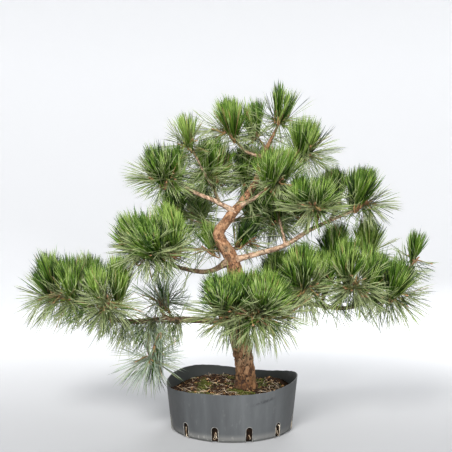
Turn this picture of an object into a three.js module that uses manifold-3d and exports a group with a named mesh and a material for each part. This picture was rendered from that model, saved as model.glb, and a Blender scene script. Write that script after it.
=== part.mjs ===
// Potted Japanese black pine, grown as a young bonsai in a cut-down nursery container.
// Millimetres, +Z up. The origin is the middle of the container's flat underside,
// -Y is the side that the tree shows to the viewer and +X is the viewer's right.
import * as THREE from "three";
import { mergeVertices } from "three/addons/utils/BufferGeometryUtils.js";
import Module from "manifold-3d";

const wasm = await Module();
wasm.setup();

// Driving dimensions

const GAP = 0.35; // clearance between pieces that touch

const POT = {
  baseRadius: 157.5,
  rimRadius: 171,
  rimHeight: 122.5,
  wall: 2,
  floor: 3,
  toeHeight: 9,
  toeInset: 4,
  middle: 0.62, // where the wavy upper part of the wall begins, as a share of its height
  sides: 40,
};
// Waves of the rim, which was cut by hand: how many round the pot, height, and where the first crest is
const RIM_WAVES = [
  { count: 1, height: 4.5, crest: 109 },
  { count: 2, height: 6.4, crest: 125 },
  { count: 3, height: 5.3, crest: -75 },
];
// The arched slots round the foot: the first lies 15 degrees from the front
const SLOT = { count: 12, width: 16.5, height: 38, first: 15, floorDepth: 5, archSteps: 4 };

const SOIL = {
  top: 100,
  edge: 90,
  seatX: 35,
  seatRadius: 62,
  rings: [0.76, 0.5, 0.24],
  roll: 3,
  rollLength: [31, 27],
  rollPhase: 1,
  rollStart: 5, // how soon the unevenness sets in past the seat
};

const TRUNK = {
  // the line of the trunk, from below its cut to the top of the tree
  route: [
    [35, 0, 88],
    [36, 0, 150],
    [23, 3, 228],
    [13, 8, 300],
    [14, 11, 378],
    [-2, 10, 440],
    [-34, 2, 500],
    [-15, -4, 534],
    [28, -6, 586],
    [66, 4, 643],
    [79, 8, 697],
    [112, -2, 767],
  ],
  // its radius at some heights
  girth: [
    [100, 25.5],
    [240, 25.5],
    [380, 21.5],
    [460, 17.5],
    [540, 13],
    [620, 9],
    [767, 4],
  ],
  flare: 0.24,
  flareHeight: 16,
  rootLobes: { count: 5, depth: 0.4, turned: 0.7 },
  sides: 12,
  steps: 28,
  cutDepth: 100,
};

// Boughs: the limb that carries each, the line of its middle, and its radius at both ends
const BOUGHS = {
  left_low: {
    from: "trunk",
    route: [[17, 7, 262], [-60, -5, 275], [-175, -26, 280], [-294, -46, 282], [-416, -60, 345]],
    radius: [10.5, 4.5],
  },
  left_low_outer: { from: "left_low", route: [[-344, -52, 300], [-382, 34, 328]], radius: [5, 3.2] },
  left_low_front: { from: "left_low", route: [[-301, -47, 284], [-314, -108, 334]], radius: [5, 3.2] },
  left_low_hanging: { from: "left_low", route: [[-208, -30, 279], [-214, -50, 242]], radius: [4.6, 3] },
  left_low_inner: {
    from: "left_low",
    route: [[-165, -24, 280], [-183, 4, 296], [-192, 42, 313]],
    radius: [4.8, 3],
  },
  left_middle: {
    from: "trunk",
    route: [[-7, 10, 430], [-59, -18, 405], [-132, -56, 417], [-185, -90, 440]],
    radius: [8, 4],
  },
  right_middle: {
    from: "trunk",
    route: [[0, 10, 432], [41, 0, 443], [136, -24, 472], [204, -38, 514], [313, -22, 562]],
    radius: [8.5, 4],
  },
  right_middle_front: {
    from: "right_middle",
    route: [[192, -36, 505], [201, -76, 556]],
    radius: [4.6, 3],
  },
  right_middle_back: {
    from: "right_middle",
    route: [[249, -34, 532], [288, 48, 572]],
    radius: [4.2, 3],
  },
  right_middle_inner: {
    from: "right_middle",
    route: [[140, -26, 474], [129, 38, 539]],
    radius: [4.6, 3],
  },
  right_low: {
    from: "trunk",
    route: [[16, 8, 300], [80, 4, 322], [194, -14, 321], [294, -38, 312], [390, -48, 346]],
    radius: [9, 4.2],
  },
  right_low_far: {
    from: "right_low",
    route: [[365, -46, 332], [419, -34, 368], [462, -27, 417]],
    radius: [4.6, 2.8],
  },
  right_low_inner: { from: "right_low", route: [[179, -12, 323], [194, -82, 368]], radius: [4.6, 3] },
  right_low_front: { from: "right_low", route: [[264, -32, 312], [294, -112, 379]], radius: [5, 3] },
  right_low_back: {
    from: "right_low",
    route: [[228, -22, 317], [259, 33, 357], [282, 82, 411]],
    radius: [4.8, 3],
  },
  right_low_top: {
    from: "right_low",
    route: [[310, -40, 314], [343, -1, 363], [364, 38, 423]],
    radius: [4.8, 3],
  },
  front: { from: "trunk", route: [[17, 4, 277], [34, -59, 300], [50, -122, 327]], radius: [7, 4] },
  top_left: {
    from: "trunk",
    route: [[10, -6, 560], [-46, -30, 589], [-107, -48, 615], [-145, -54, 643]],
    radius: [7.5, 3.6],
  },
  top_left_inner: { from: "top_left", route: [[-32, -24, 581], [-51, -18, 638]], radius: [4.6, 3] },
  top_left_small: {
    from: "top_left_inner",
    route: [[-43, -21, 614], [-69, -38, 657], [-99, -43, 716]],
    radius: [3.4, 2.4],
  },
  apex_left: { from: "trunk", route: [[78, 8, 706], [40, 2, 718], [14, -6, 740]], radius: [5, 3] },
  apex_right: {
    from: "trunk",
    route: [[77, 8, 668], [118, -2, 684], [158, -10, 709]],
    radius: [5.5, 3],
  },
  top_right: {
    from: "trunk",
    route: [[22, -6, 578], [58, -35, 594], [98, -60, 623]],
    radius: [6.5, 3.6],
  },
  back_left: {
    from: "trunk",
    route: [[-28, 2, 503], [-50, 54, 523], [-93, 126, 554]],
    radius: [6, 3.4],
  },
  back_right: {
    from: "trunk",
    route: [[-17, -3, 532], [23, 54, 542], [87, 128, 554]],
    radius: [6, 3.4],
  },
  back_low: {
    from: "trunk",
    route: [[15, 9, 338], [50, 57, 344], [112, 128, 360]],
    radius: [6.5, 3.6],
  },
};
const BOUGH_SIDES = 6;
const BOUGH_STEP = 34; // length of one straight stretch of a bough
const BOUGH_TAPER = 0.8; // below 1, a bough thins faster near its foot

// Masses of needles: what each stands on, the middle and half size of the space that it
// keeps to, and how many shoots it has. "at" is where one springs straight from the trunk.
const MASSES = {
  left_low_tip: { on: "left_low", middle: [-446, -62, 370], half: [95, 92, 88], shoots: 7 },
  left_low_outer: { on: "left_low_outer", middle: [-401, 64, 386], half: [56, 60, 66], shoots: 3 },
  left_low_front: { on: "left_low_front", middle: [-299, -138, 362], half: [74, 68, 92], shoots: 5 },
  left_low_hanging: { on: "left_low_hanging", middle: [-207, -66, 198], half: [78, 66, 76], shoots: 4 },
  left_low_inner: { on: "left_low_inner", middle: [-203, 78, 343], half: [84, 70, 72], shoots: 3 },
  left_middle: { on: "left_middle", middle: [-209, -120, 492], half: [104, 88, 86], shoots: 8 },
  left_small: { on: "trunk", at: [-12, 8, 454], middle: [-88, 30, 480], half: [46, 42, 52], shoots: 2 },
  right_middle_tip: { on: "right_middle", middle: [351, -14, 606], half: [62, 74, 68], shoots: 5 },
  right_middle_front: { on: "right_middle_front", middle: [203, -100, 597], half: [72, 66, 72], shoots: 6 },
  right_middle_back: { on: "right_middle_back", middle: [298, 92, 618], half: [54, 64, 64], shoots: 4 },
  right_middle_inner: { on: "right_middle_inner", middle: [137, 72, 579], half: [62, 62, 60], shoots: 4 },
  right_low_tip: { on: "right_low", middle: [406, -56, 372], half: [76, 86, 92], shoots: 6 },
  right_low_far: { on: "right_low_far", middle: [480, -24, 450], half: [42, 40, 44], shoots: 2 },
  right_low_inner: { on: "right_low_inner", middle: [185, -120, 398], half: [74, 66, 84], shoots: 5 },
  right_low_front: { on: "right_low_front", middle: [298, -150, 406], half: [68, 66, 97], shoots: 6 },
  right_low_back: { on: "right_low_back", middle: [286, 124, 470], half: [66, 70, 66], shoots: 4 },
  right_low_top: { on: "right_low_top", middle: [374, 62, 477], half: [52, 60, 66], shoots: 4 },
  front: { on: "front", middle: [40, -165, 335], half: [134, 82, 104], shoots: 12 },
  top_left_tip: { on: "top_left", middle: [-171, -72, 667], half: [74, 70, 70], shoots: 6 },
  top_left_inner: { on: "top_left_inner", middle: [-56, 12, 686], half: [62, 68, 70], shoots: 5 },
  top_left_small: { on: "top_left_small", middle: [-116, -44, 752], half: [44, 44, 48], shoots: 3 },
  apex: { on: "trunk", middle: [130, -2, 828], half: [52, 56, 74], shoots: 5 },
  apex_left: { on: "apex_left", middle: [-16, -25, 794], half: [62, 62, 66], shoots: 5 },
  apex_middle: { on: "trunk", at: [92, 4, 726], middle: [62, 40, 800], half: [42, 48, 82], shoots: 4 },
  apex_right: { on: "apex_right", middle: [200, -8, 737], half: [66, 68, 66], shoots: 5 },
  top_right: { on: "top_right", middle: [119, -88, 658], half: [62, 62, 62], shoots: 5 },
  top_back: { on: "trunk", at: [64, 4, 640], middle: [61, 104, 685], half: [80, 72, 74], shoots: 5 },
  back_left: { on: "back_left", middle: [-120, 166, 583], half: [90, 78, 72], shoots: 6 },
  back_right: { on: "back_right", middle: [114, 172, 567], half: [90, 78, 72], shoots: 6 },
  back_low: { on: "back_low", middle: [152, 168, 386], half: [90, 80, 78], shoots: 6 },
  right_small: { on: "trunk", at: [-14, 7, 458], middle: [58, 40, 498], half: [50, 42, 42], shoots: 2 },
};

// A needle here is larger than life, because each stands for a spray of the real ones
const NEEDLE = { length: 88, uneven: 0.12, clear: 1.1, cuts: [1, 0.85, 0.7], shortest: 36, footRadius: 4 };
// The slim core of a shoot: its rings by height, number of corners and radius, and its point.
// Its lowest needles lean out by rootLean from the shoot's line and its highest by tipLean.
const CORE = {
  rings: [
    { height: 0, corners: 3, radius: 2 },
    { height: 9, corners: 5, radius: 4.4 },
    { height: 23, corners: 5, radius: 4.1, turned: 0.5 },
  ],
  top: 37,
  sideRise: 0.3, // keeps a ring's first corner off the level
  rootLean: 96,
  tipLean: 14,
};
const TWIG = { radius: 2.4, sides: 3, step: 40 };
const STEM = { radius: 3, straight: 0.45, share: 0.75, hub: 7.5 };
// Shoots start below the middle of their space, and room is left round them for the needles
const SHOOTS = {
  drop: 0.34,
  room: 56,
  smallest: 12,
  lowest: -0.45,
  lift: 0.7,
  unevenTurn: 0.8,
  uneven: 0.2,
};
const GOLDEN_ANGLE = Math.PI * (3 - Math.sqrt(5));

// Helpers

const point = ([x, y, z]) => new THREE.Vector3(x, y, z);
const degrees = THREE.MathUtils.degToRad;
const curveThrough = (route) => new THREE.CatmullRomCurve3(route.map(point), false, "centripetal");

// A seeded source of numbers from 0 to 1
function seeded(seed) {
  let state = seed >>> 0;
  return () => {
    state = (state + 0x6d2b79f5) >>> 0;
    let mixed = Math.imul(state ^ (state >>> 15), 1 | state);
    mixed = (mixed + Math.imul(mixed ^ (mixed >>> 7), 61 | mixed)) ^ mixed;
    return ((mixed ^ (mixed >>> 14)) >>> 0) / 4294967296;
  };
}

// A number near 1, at most the given share above or below it
const vary = (share, random) => 1 + share * (2 * random() - 1);

// A value read off a list of [place, value] pairs
function readOff(pairs, place) {
  const next = pairs.findIndex(([at]) => at > place);
  if (next === 0) return pairs[0][1];
  if (next < 0) return pairs[pairs.length - 1][1];
  const [fromAt, from] = pairs[next - 1];
  const [toAt, to] = pairs[next];
  return THREE.MathUtils.mapLinear(place, fromAt, toAt, from, to);
}

function solidOf(geometry) {
  const bare = geometry.clone();
  bare.deleteAttribute("normal");
  bare.deleteAttribute("uv");
  const merged = mergeVertices(bare, 1e-4);
  const vertProperties = new Float32Array(merged.attributes.position.array);
  const triVerts = new Uint32Array(merged.index.array);
  return new wasm.Manifold(new wasm.Mesh({ numProp: 3, vertProperties, triVerts }));
}

function geometryOf(solid) {
  const mesh = solid.getMesh();
  const geometry = new THREE.BufferGeometry();
  geometry.setAttribute("position", new THREE.BufferAttribute(mesh.vertProperties, 3));
  geometry.setIndex(new THREE.BufferAttribute(mesh.triVerts, 1));
  return geometry;
}

// The largest body of a solid, without loose scraps or sealed hollows
function largestBody(solid) {
  return solid.decompose().reduce((best, body) => (body.volume() > best.volume() ? body : best));
}

// A limb: a cylinder's vertices laid along a curve, with a radius that follows a function
function limbGeometry(curve, sides, steps, radiusAt) {
  const geometry = new THREE.CylinderGeometry(1, 1, 1, sides, steps);
  const frames = curve.computeFrenetFrames(steps, false);
  const spots = curve.getSpacedPoints(steps);
  const position = geometry.attributes.position;
  for (let i = 0; i < position.count; i += 1) {
    const step = Math.round((position.getY(i) + 0.5) * steps);
    const turn = Math.atan2(position.getZ(i), position.getX(i));
    const out = Math.hypot(position.getX(i), position.getZ(i)) * radiusAt(step / steps, turn, spots[step]);
    const spot = spots[step]
      .clone()
      .addScaledVector(frames.normals[step], out * Math.cos(turn))
      .addScaledVector(frames.binormals[step], -out * Math.sin(turn));
    position.setXYZ(i, spot.x, spot.y, spot.z);
  }
  return geometry;
}

// Straight stretches that the growing needles and twigs keep clear of: each belongs to a limb
// or a mass, and in a mass to one of its shoots
const taken = [];

function stretchOf(from, to, fromRadius, toRadius, owner, shoot) {
  const middle = from.clone().lerp(to, 0.5);
  const reach = from.distanceTo(to) / 2;
  return { from, to, fromRadius, toRadius, owner, shoot, middle, reach };
}

function takeCurve(curve, steps, radiusAt, owner) {
  const spots = curve.getSpacedPoints(steps);
  for (let step = 0; step < steps; step += 1) {
    const [radius, nextRadius] = [radiusAt(step / steps), radiusAt((step + 1) / steps)];
    taken.push(stretchOf(spots[step], spots[step + 1], radius, nextRadius, owner));
  }
}

// How far two tapering stretches are apart, skin to skin
function roomBetween(a, b) {
  const along = a.to.clone().sub(a.from);
  const across = b.to.clone().sub(b.from);
  const between = a.from.clone().sub(b.from);
  const aa = along.dot(along);
  const bb = across.dot(across);
  const ab = along.dot(across);
  const ac = along.dot(between);
  const bc = across.dot(between);
  const { clamp, lerp } = THREE.MathUtils;
  const spread = aa * bb - ab * ab;
  const first = spread > 1e-9 ? clamp((ab * bc - ac * bb) / spread, 0, 1) : 0;
  const t = clamp((ab * first + bc) / bb, 0, 1);
  const s = clamp((ab * t - ac) / aa, 0, 1);
  const onA = a.from.clone().addScaledVector(along, s);
  const onB = b.from.clone().addScaledVector(across, t);
  const apart = onA.distanceTo(onB);
  return apart - lerp(a.fromRadius, a.toRadius, s) - lerp(b.fromRadius, b.toRadius, t);
}

// Whether a stretch is clear of all that is taken, apart from what it may touch
function isClear(stretch, mayTouch, clearance) {
  return taken.every((other) => {
    const near = stretch.reach + other.reach + stretch.fromRadius + other.fromRadius + clearance;
    if (stretch.middle.distanceToSquared(other.middle) > near * near) return true;
    return mayTouch(other) || roomBetween(stretch, other) > clearance;
  });
}

// The container

const rimHeightAt = (azimuth) =>
  RIM_WAVES.reduce(
    (height, wave) => height + wave.height * Math.cos(wave.count * azimuth - degrees(wave.crest)),
    POT.rimHeight,
  );

// The angle round the pot, from the front towards +X
const azimuthOf = (x, y) => Math.atan2(x, -y);

function uprightLathe(profile, sides) {
  const outline = profile.map(([radius, height]) => new THREE.Vector2(radius, height));
  return new THREE.LatheGeometry(outline, sides).rotateX(Math.PI / 2);
}

const wallRadiusAt = (height) =>
  THREE.MathUtils.mapLinear(height, 0, POT.rimHeight, POT.baseRadius, POT.rimRadius);

function makePot() {
  const { baseRadius, rimRadius, rimHeight, wall, floor, toeHeight, toeInset, sides } = POT;
  const midHeight = rimHeight * POT.middle;
  const shell = uprightLathe(
    [
      [0, 0],
      [baseRadius - toeInset, 0],
      [wallRadiusAt(toeHeight), toeHeight],
      [wallRadiusAt(midHeight), midHeight],
      [rimRadius, rimHeight],
      [rimRadius - wall, rimHeight],
      [wallRadiusAt(midHeight) - wall, midHeight],
      [wallRadiusAt(floor) - wall, floor],
      [0, floor],
    ],
    sides,
  );
  const position = shell.attributes.position;
  for (let i = 0; i < position.count; i += 1) {
    if (position.getZ(i) > midHeight + 1) {
      position.setZ(i, rimHeightAt(azimuthOf(position.getX(i), position.getY(i))));
    }
  }
  return largestBody(cutSlots(solidOf(shell)));
}

function cutSlots(shell) {
  const half = SLOT.width / 2;
  const arch = new THREE.Shape();
  arch.moveTo(-half, -1);
  arch.lineTo(half, -1);
  arch.lineTo(half, SLOT.height - half);
  arch.absarc(0, SLOT.height - half, half, 0, Math.PI, false);
  arch.lineTo(-half, -1);
  const inner = POT.baseRadius - POT.toeInset - SLOT.floorDepth;
  const depth = POT.rimRadius - inner;
  const curveSegments = SLOT.archSteps;
  let cut = shell;
  for (let i = 0; i < SLOT.count; i += 1) {
    const azimuth = degrees(SLOT.first + (360 / SLOT.count) * i);
    const cutter = new THREE.ExtrudeGeometry(arch, { depth, bevelEnabled: false, curveSegments })
      .rotateX(Math.PI / 2)
      .translate(0, -inner, 0)
      .rotateZ(azimuth);
    cut = cut.subtract(solidOf(cutter));
  }
  return cut;
}

// The soil fills the pot and is level where the trunk stands
function soilHeightAt(x, y) {
  const fromSeat = Math.hypot(x - SOIL.seatX, y);
  const fall = THREE.MathUtils.smoothstep(fromSeat, SOIL.seatRadius, POT.rimRadius + SOIL.seatX);
  const [longX, longY] = SOIL.rollLength;
  const roll = SOIL.roll * (Math.sin(x / longX + SOIL.rollPhase) * Math.cos(y / longY) - 1);
  return THREE.MathUtils.lerp(SOIL.top, SOIL.edge, fall) + roll * Math.min(1, fall * SOIL.rollStart);
}

function makeSoil() {
  const bottom = POT.floor + GAP;
  const radiusAt = (height) => wallRadiusAt(height) - POT.wall - 2 * GAP;
  const soil = uprightLathe(
    [
      [0, bottom],
      [radiusAt(bottom), bottom],
      [radiusAt(SOIL.edge), SOIL.edge],
      ...SOIL.rings.map((share) => [share * radiusAt(SOIL.edge), SOIL.top]),
      [0, SOIL.top],
    ],
    POT.sides,
  );
  const position = soil.attributes.position;
  for (let i = 0; i < position.count; i += 1) {
    if (position.getZ(i) >= SOIL.edge - 0.01) {
      position.setZ(i, soilHeightAt(position.getX(i), position.getY(i)));
    }
  }
  return solidOf(soil);
}

// Limbs

const limbs = {};

const trunkRadiusAt = (spot, turn) => {
  const above = spot.z - SOIL.top;
  const { count, depth, turned } = TRUNK.rootLobes;
  const lobes = 1 + depth * Math.cos(count * turn + turned);
  return readOff(TRUNK.girth, spot.z) * (1 + TRUNK.flare * lobes * Math.exp(-above / TRUNK.flareHeight));
};

function makeTrunk() {
  const curve = curveThrough(TRUNK.route);
  const solidGrown = (growth) => {
    const radiusAt = (along, turn, spot) => trunkRadiusAt(spot, turn) + growth;
    return solidOf(limbGeometry(curve, TRUNK.sides, TRUNK.steps, radiusAt));
  };
  const plainRadius = (along) => readOff(TRUNK.girth, curve.getPointAt(along).z);
  takeCurve(curve, TRUNK.steps, plainRadius, "trunk");
  const { cutDepth } = TRUNK;
  const belowCut = new THREE.BoxGeometry(cutDepth, cutDepth, cutDepth);
  belowCut.translate(SOIL.seatX, 0, SOIL.top + GAP - cutDepth / 2);
  limbs.trunk = { curve, solid: solidGrown(0).subtract(solidOf(belowCut)), grown: solidGrown(GAP) };
}

function makeBough(name, { from, route, radius }) {
  const curve = curveThrough(route);
  const steps = Math.max(2, Math.round(curve.getLength() / BOUGH_STEP));
  const radiusAt = (along) => THREE.MathUtils.lerp(radius[0], radius[1], along ** BOUGH_TAPER);
  const solidGrown = (growth) =>
    solidOf(limbGeometry(curve, BOUGH_SIDES, steps, (along) => radiusAt(along) + growth));
  takeCurve(curve, steps, radiusAt, name);
  const solid = largestBody(solidGrown(0).subtract(limbs[from].grown));
  limbs[name] = { curve, solid, grown: solidGrown(GAP) };
}

// Needles

// The stem of a mass runs on from the tip of its bough, or springs from inside the trunk, and
// ends in the hub that the shoots start from
function stemOf(mass) {
  const holder = limbs[mass.on];
  const low = point(mass.middle);
  low.z -= SHOOTS.drop * mass.half[2];
  const foot = mass.at ? point(mass.at) : holder.curve.getPointAt(1);
  const way = mass.at ? low.clone().sub(foot).normalize() : holder.curve.getTangentAt(1);
  if (!mass.at) foot.addScaledVector(way, GAP);
  const hub = foot.clone().lerp(low, STEM.share);
  const knee = foot.clone().addScaledVector(way, STEM.straight * foot.distanceTo(hub));
  const curve = new THREE.QuadraticBezierCurve3(foot, knee, hub);
  const steps = Math.max(2, Math.round(curve.getLength() / TWIG.step));
  const radiusAt = (along) => THREE.MathUtils.lerp(STEM.radius, TWIG.radius, along);
  const whole = solidOf(limbGeometry(curve, TWIG.sides, steps, radiusAt));
  const stem = mass.at ? largestBody(whole.subtract(holder.grown)) : whole;
  const knob = solidOf(new THREE.OctahedronGeometry(STEM.hub).translate(hub.x, hub.y, hub.z));
  return { hub, curve, steps, radiusAt, solid: stem.add(knob) };
}

// Where the shoots of a mass start their needles and which way they point: spread evenly by
// the golden angle, from straight up to somewhat below the level
function shootsOf(mass, hub, random) {
  const low = point(mass.middle);
  low.z -= SHOOTS.drop * mass.half[2];
  const inner = point(mass.half.map((half) => Math.max(half - SHOOTS.room, SHOOTS.smallest)));
  return Array.from({ length: mass.shoots }, (_, i) => {
    const rise = THREE.MathUtils.lerp(1, SHOOTS.lowest, (i + 0.5) / mass.shoots);
    const turn = i * GOLDEN_ANGLE + SHOOTS.unevenTurn * random();
    const level = Math.sqrt(1 - rise * rise);
    const out = new THREE.Vector3(level * Math.cos(turn), level * Math.sin(turn), rise);
    const share = vary(SHOOTS.uneven, random);
    const end = out.clone().multiply(inner).multiplyScalar(share).add(low);
    const axis = end.clone().sub(hub).normalize().add(out);
    axis.z += SHOOTS.lift;
    return { end, axis: axis.normalize(), roll: 2 * Math.PI * random() };
  });
}

// The stem and hub of a mass, and its shoots that touch nothing, before any needles
function startMass([key, mass], index) {
  const name = "needles_" + key;
  const random = seeded(index + 1);
  const stem = stemOf(mass);
  takeCurve(stem.curve, stem.steps, stem.radiusAt, name);
  const half = STEM.hub / 2;
  const upHub = new THREE.Vector3(0, 0, half);
  taken.push(stretchOf(stem.hub.clone().sub(upHub), stem.hub.clone().add(upHub), half, half, name));
  const coreRadius = Math.max(...CORE.rings.map((ring) => ring.radius));
  const shoots = shootsOf(mass, stem.hub, random).filter((shoot) => {
    const twig = stretchOf(stem.hub, shoot.end, TWIG.radius, TWIG.radius, name, shoot);
    const top = shoot.end.clone().addScaledVector(shoot.axis, CORE.top);
    const core = stretchOf(shoot.end, top, coreRadius, coreRadius, name, shoot);
    const isOwn = (other) => other.owner === name;
    const isFree = [twig, core].every((part) => isClear(part, isOwn, NEEDLE.clear));
    if (isFree) taken.push(twig, core);
    return isFree;
  });
  return { name, mass, hub: stem.hub, solid: stem.solid, shoots, random };
}

// The corners of a ring round a line
function ringCorners(centre, line, side, { corners, radius, turned = 0 }) {
  const across = side.clone().projectOnPlane(line).normalize();
  const third = line.clone().cross(across);
  return Array.from({ length: corners }, (_, i) => {
    const angle = (2 * Math.PI * (i + turned)) / corners;
    return centre
      .clone()
      .addScaledVector(across, radius * Math.cos(angle))
      .addScaledVector(third, radius * Math.sin(angle));
  });
}

// The faces between two rings, which may have unlike numbers of corners
function facesBetween(low, high) {
  const faces = [];
  let [i, j] = [0, 0];
  while (i < low.count || j < high.count) {
    const a = low.first + (i % low.count);
    const b = high.first + (j % high.count);
    const nextLow = (i + 1) / low.count;
    const nextHigh = (j + 1 + high.turned) / high.count;
    if (j === high.count || (i < low.count && nextLow <= nextHigh)) {
      i += 1;
      faces.push([a, low.first + (i % low.count), b]);
    } else {
      j += 1;
      faces.push([a, high.first + (j % high.count), b]);
    }
  }
  return faces;
}

// One shoot: a three-sided twig that swells to a slim core, drawn out to a needle over each
// of the core's faces
function shootSolid(shoot, { name, mass, hub, random }) {
  const { end, axis, roll } = shoot;
  const line = end.clone().sub(hub).normalize();
  const side = new THREE.Vector3(Math.cos(roll), Math.sin(roll), CORE.sideRise);
  const vertices = [];
  const addRing = (centre, direction, ring) => {
    const first = vertices.length;
    vertices.push(...ringCorners(centre, direction, side, ring));
    return { first, count: ring.corners, turned: ring.turned ?? 0 };
  };
  const root = addRing(hub, line, { corners: TWIG.sides, radius: TWIG.radius });
  const rings = CORE.rings.map((ring) =>
    addRing(end.clone().addScaledVector(axis, ring.height), axis, ring),
  );
  const top = vertices.push(end.clone().addScaledVector(axis, CORE.top)) - 1;
  const last = rings[rings.length - 1];
  const bare = [[root.first, root.first + 2, root.first + 1], ...facesBetween(root, rings[0])];
  const green = rings.slice(1).flatMap((ring, i) => facesBetween(rings[i], ring));
  for (let i = 0; i < last.count; i += 1) {
    green.push([last.first + i, last.first + ((i + 1) % last.count), top]);
  }
  const faces = [...bare];
  green.forEach(([a, b, c]) => {
    const foot = vertices[a].clone().add(vertices[b]).add(vertices[c]).divideScalar(3);
    const length = NEEDLE.length * vary(NEEDLE.uneven, random);
    const needle = needleFrom(foot, leanAt(foot, shoot), length, shoot, name, mass);
    if (!needle) {
      faces.push([a, b, c]);
      return;
    }
    taken.push(needle);
    const tip = vertices.push(needle.to) - 1;
    faces.push([a, b, tip], [b, c, tip], [c, a, tip]);
  });
  const vertProperties = new Float32Array(vertices.flatMap((spot) => spot.toArray()));
  const triVerts = new Uint32Array(faces.flat());
  return new wasm.Manifold(new wasm.Mesh({ numProp: 3, vertProperties, triVerts }));
}

// The way a needle grows from its place on the core: the lower, the further it leans out
function leanAt(foot, { end, axis }) {
  const from = foot.clone().sub(end);
  const height = from.dot(axis);
  const out = from.addScaledVector(axis, -height).normalize();
  const lean = degrees(THREE.MathUtils.lerp(CORE.rootLean, CORE.tipLean, height / CORE.top));
  return out.multiplyScalar(Math.sin(lean)).addScaledVector(axis, Math.cos(lean));
}

// The distance from a spot inside a space to its skin
function roomInside(spot, way, { middle, half }) {
  const from = spot.clone().sub(point(middle)).divide(point(half));
  const step = way.clone().divide(point(half));
  const [a, b, c] = [step.dot(step), from.dot(step), from.dot(from) - 1];
  return c >= 0 ? 0 : (Math.sqrt(b * b - a * c) - b) / a;
}

// The longest needle that stays in the space and touches nothing, if one does
function needleFrom(foot, way, fullLength, shoot, name, mass) {
  const ownShoot = (other) => other.owner === name && (other.shoot === shoot || other.shoot === undefined);
  const length = Math.min(fullLength, roomInside(foot, way, mass));
  return NEEDLE.cuts
    .filter((cut) => cut * length >= NEEDLE.shortest)
    .map((cut) => foot.clone().addScaledVector(way, length * cut))
    .map((tip) => stretchOf(foot, tip, NEEDLE.footRadius, 0, name, shoot))
    .find((needle) => isClear(needle, ownShoot, NEEDLE.clear));
}

function finishMass(started) {
  const shoots = started.shoots.map((shoot) => shootSolid(shoot, started));
  return largestBody(shoots.reduce((whole, shoot) => whole.add(shoot), started.solid));
}

// The tree in its pot

const FINISH = {
  pot: { color: 0x62666a, roughness: 0.5, metalness: 0 },
  soil: { color: 0x3d3023, roughness: 1, metalness: 0 },
  trunk: { color: 0x8a6245, roughness: 0.95, metalness: 0 },
  bough: { color: 0x7d6250, roughness: 0.9, metalness: 0 },
  needles: { color: 0x4d7036, roughness: 0.6, metalness: 0 },
};

const group = new THREE.Group();

function addMesh(name, solid, finish) {
  const mesh = new THREE.Mesh(geometryOf(solid), new THREE.MeshStandardMaterial(FINISH[finish]));
  mesh.name = name;
  group.add(mesh);
}

addMesh("pot", makePot(), "pot");
addMesh("soil", makeSoil(), "soil");
makeTrunk();
Object.entries(BOUGHS).forEach(([name, bough]) => makeBough(name, bough));
Object.entries(limbs).forEach(([name, limb]) =>
  addMesh(name === "trunk" ? name : "bough_" + name, limb.solid, name === "trunk" ? "trunk" : "bough"),
);
const started = Object.entries(MASSES).map(startMass);
started.forEach((mass) => addMesh(mass.name, finishMass(mass), "needles"));

export default group;
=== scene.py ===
"""A young Japanese black pine, grown as a bonsai in a cut-down grey nursery container.

Sizes are in millimetres and become metres where a mesh or a tree's input is made. The limbs, the
spaces of the needle masses and the seeded rule that places their shoots are those of the solids.
"""
import math
from collections import namedtuple

import bpy
import numpy as np
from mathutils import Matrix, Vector


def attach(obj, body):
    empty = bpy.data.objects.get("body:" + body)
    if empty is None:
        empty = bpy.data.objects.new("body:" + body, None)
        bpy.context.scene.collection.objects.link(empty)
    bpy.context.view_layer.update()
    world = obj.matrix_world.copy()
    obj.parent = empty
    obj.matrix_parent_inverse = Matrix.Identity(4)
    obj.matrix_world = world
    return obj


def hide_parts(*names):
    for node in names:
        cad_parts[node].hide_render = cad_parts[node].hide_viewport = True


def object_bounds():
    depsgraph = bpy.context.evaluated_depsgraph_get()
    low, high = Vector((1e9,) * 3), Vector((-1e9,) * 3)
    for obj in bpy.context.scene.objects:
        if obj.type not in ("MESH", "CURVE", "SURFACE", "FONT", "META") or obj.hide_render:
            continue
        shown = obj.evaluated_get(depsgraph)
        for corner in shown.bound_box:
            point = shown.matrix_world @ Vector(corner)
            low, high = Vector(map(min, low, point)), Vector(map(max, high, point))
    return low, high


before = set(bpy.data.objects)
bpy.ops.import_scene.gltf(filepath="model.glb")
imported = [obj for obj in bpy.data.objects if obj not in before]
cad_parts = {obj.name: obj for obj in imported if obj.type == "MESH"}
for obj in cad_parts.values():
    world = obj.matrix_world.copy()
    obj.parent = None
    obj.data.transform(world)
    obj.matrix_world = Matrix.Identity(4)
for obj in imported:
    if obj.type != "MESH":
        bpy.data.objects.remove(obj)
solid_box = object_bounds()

MM = 0.001
UP = np.array([0.0, 0.0, 1.0])
GOLDEN_ANGLE = math.pi * (3 - math.sqrt(5))

# The photograph's view: a level camera in front of the tree, in millimetres
CAMERA = {"place": (-14.5, -1840, 523), "lens": 55.75, "sensor": 36}

# Lights: place, size, watts and colour
STUDIO = {
    "glow": 0.28,
    "sky": 0.38,
    "aim": (0, 0, 420),
    "lights": {
        "key": ((-700, -2300, 2000), (900, 900), 88, (1, 0.99, 0.97)),
        "front": ((800, -2700, 1000), (1500, 1200), 60, (1, 0.99, 0.98)),
        "back": ((700, 2500, 1900), (1400, 1000), 42, (0.98, 0.99, 1)),
    },
}

POT = {
    "base_radius": 157.5, "rim_radius": 171, "rim_height": 122.5, "wall": 1.8, "floor": 3,
    "toe_height": 9, "toe_inset": 4, "round": 0.45, "columns": 288, "sharp_above": 38,
}
RIM_WAVES = [(1, 4.5, 109), (2, 6.4, 125), (3, 5.3, -75)]  # count round the pot, height, first crest
SLOTS = {"count": 12, "width": 16.5, "height": 38, "first": 15, "reach": 9}
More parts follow.
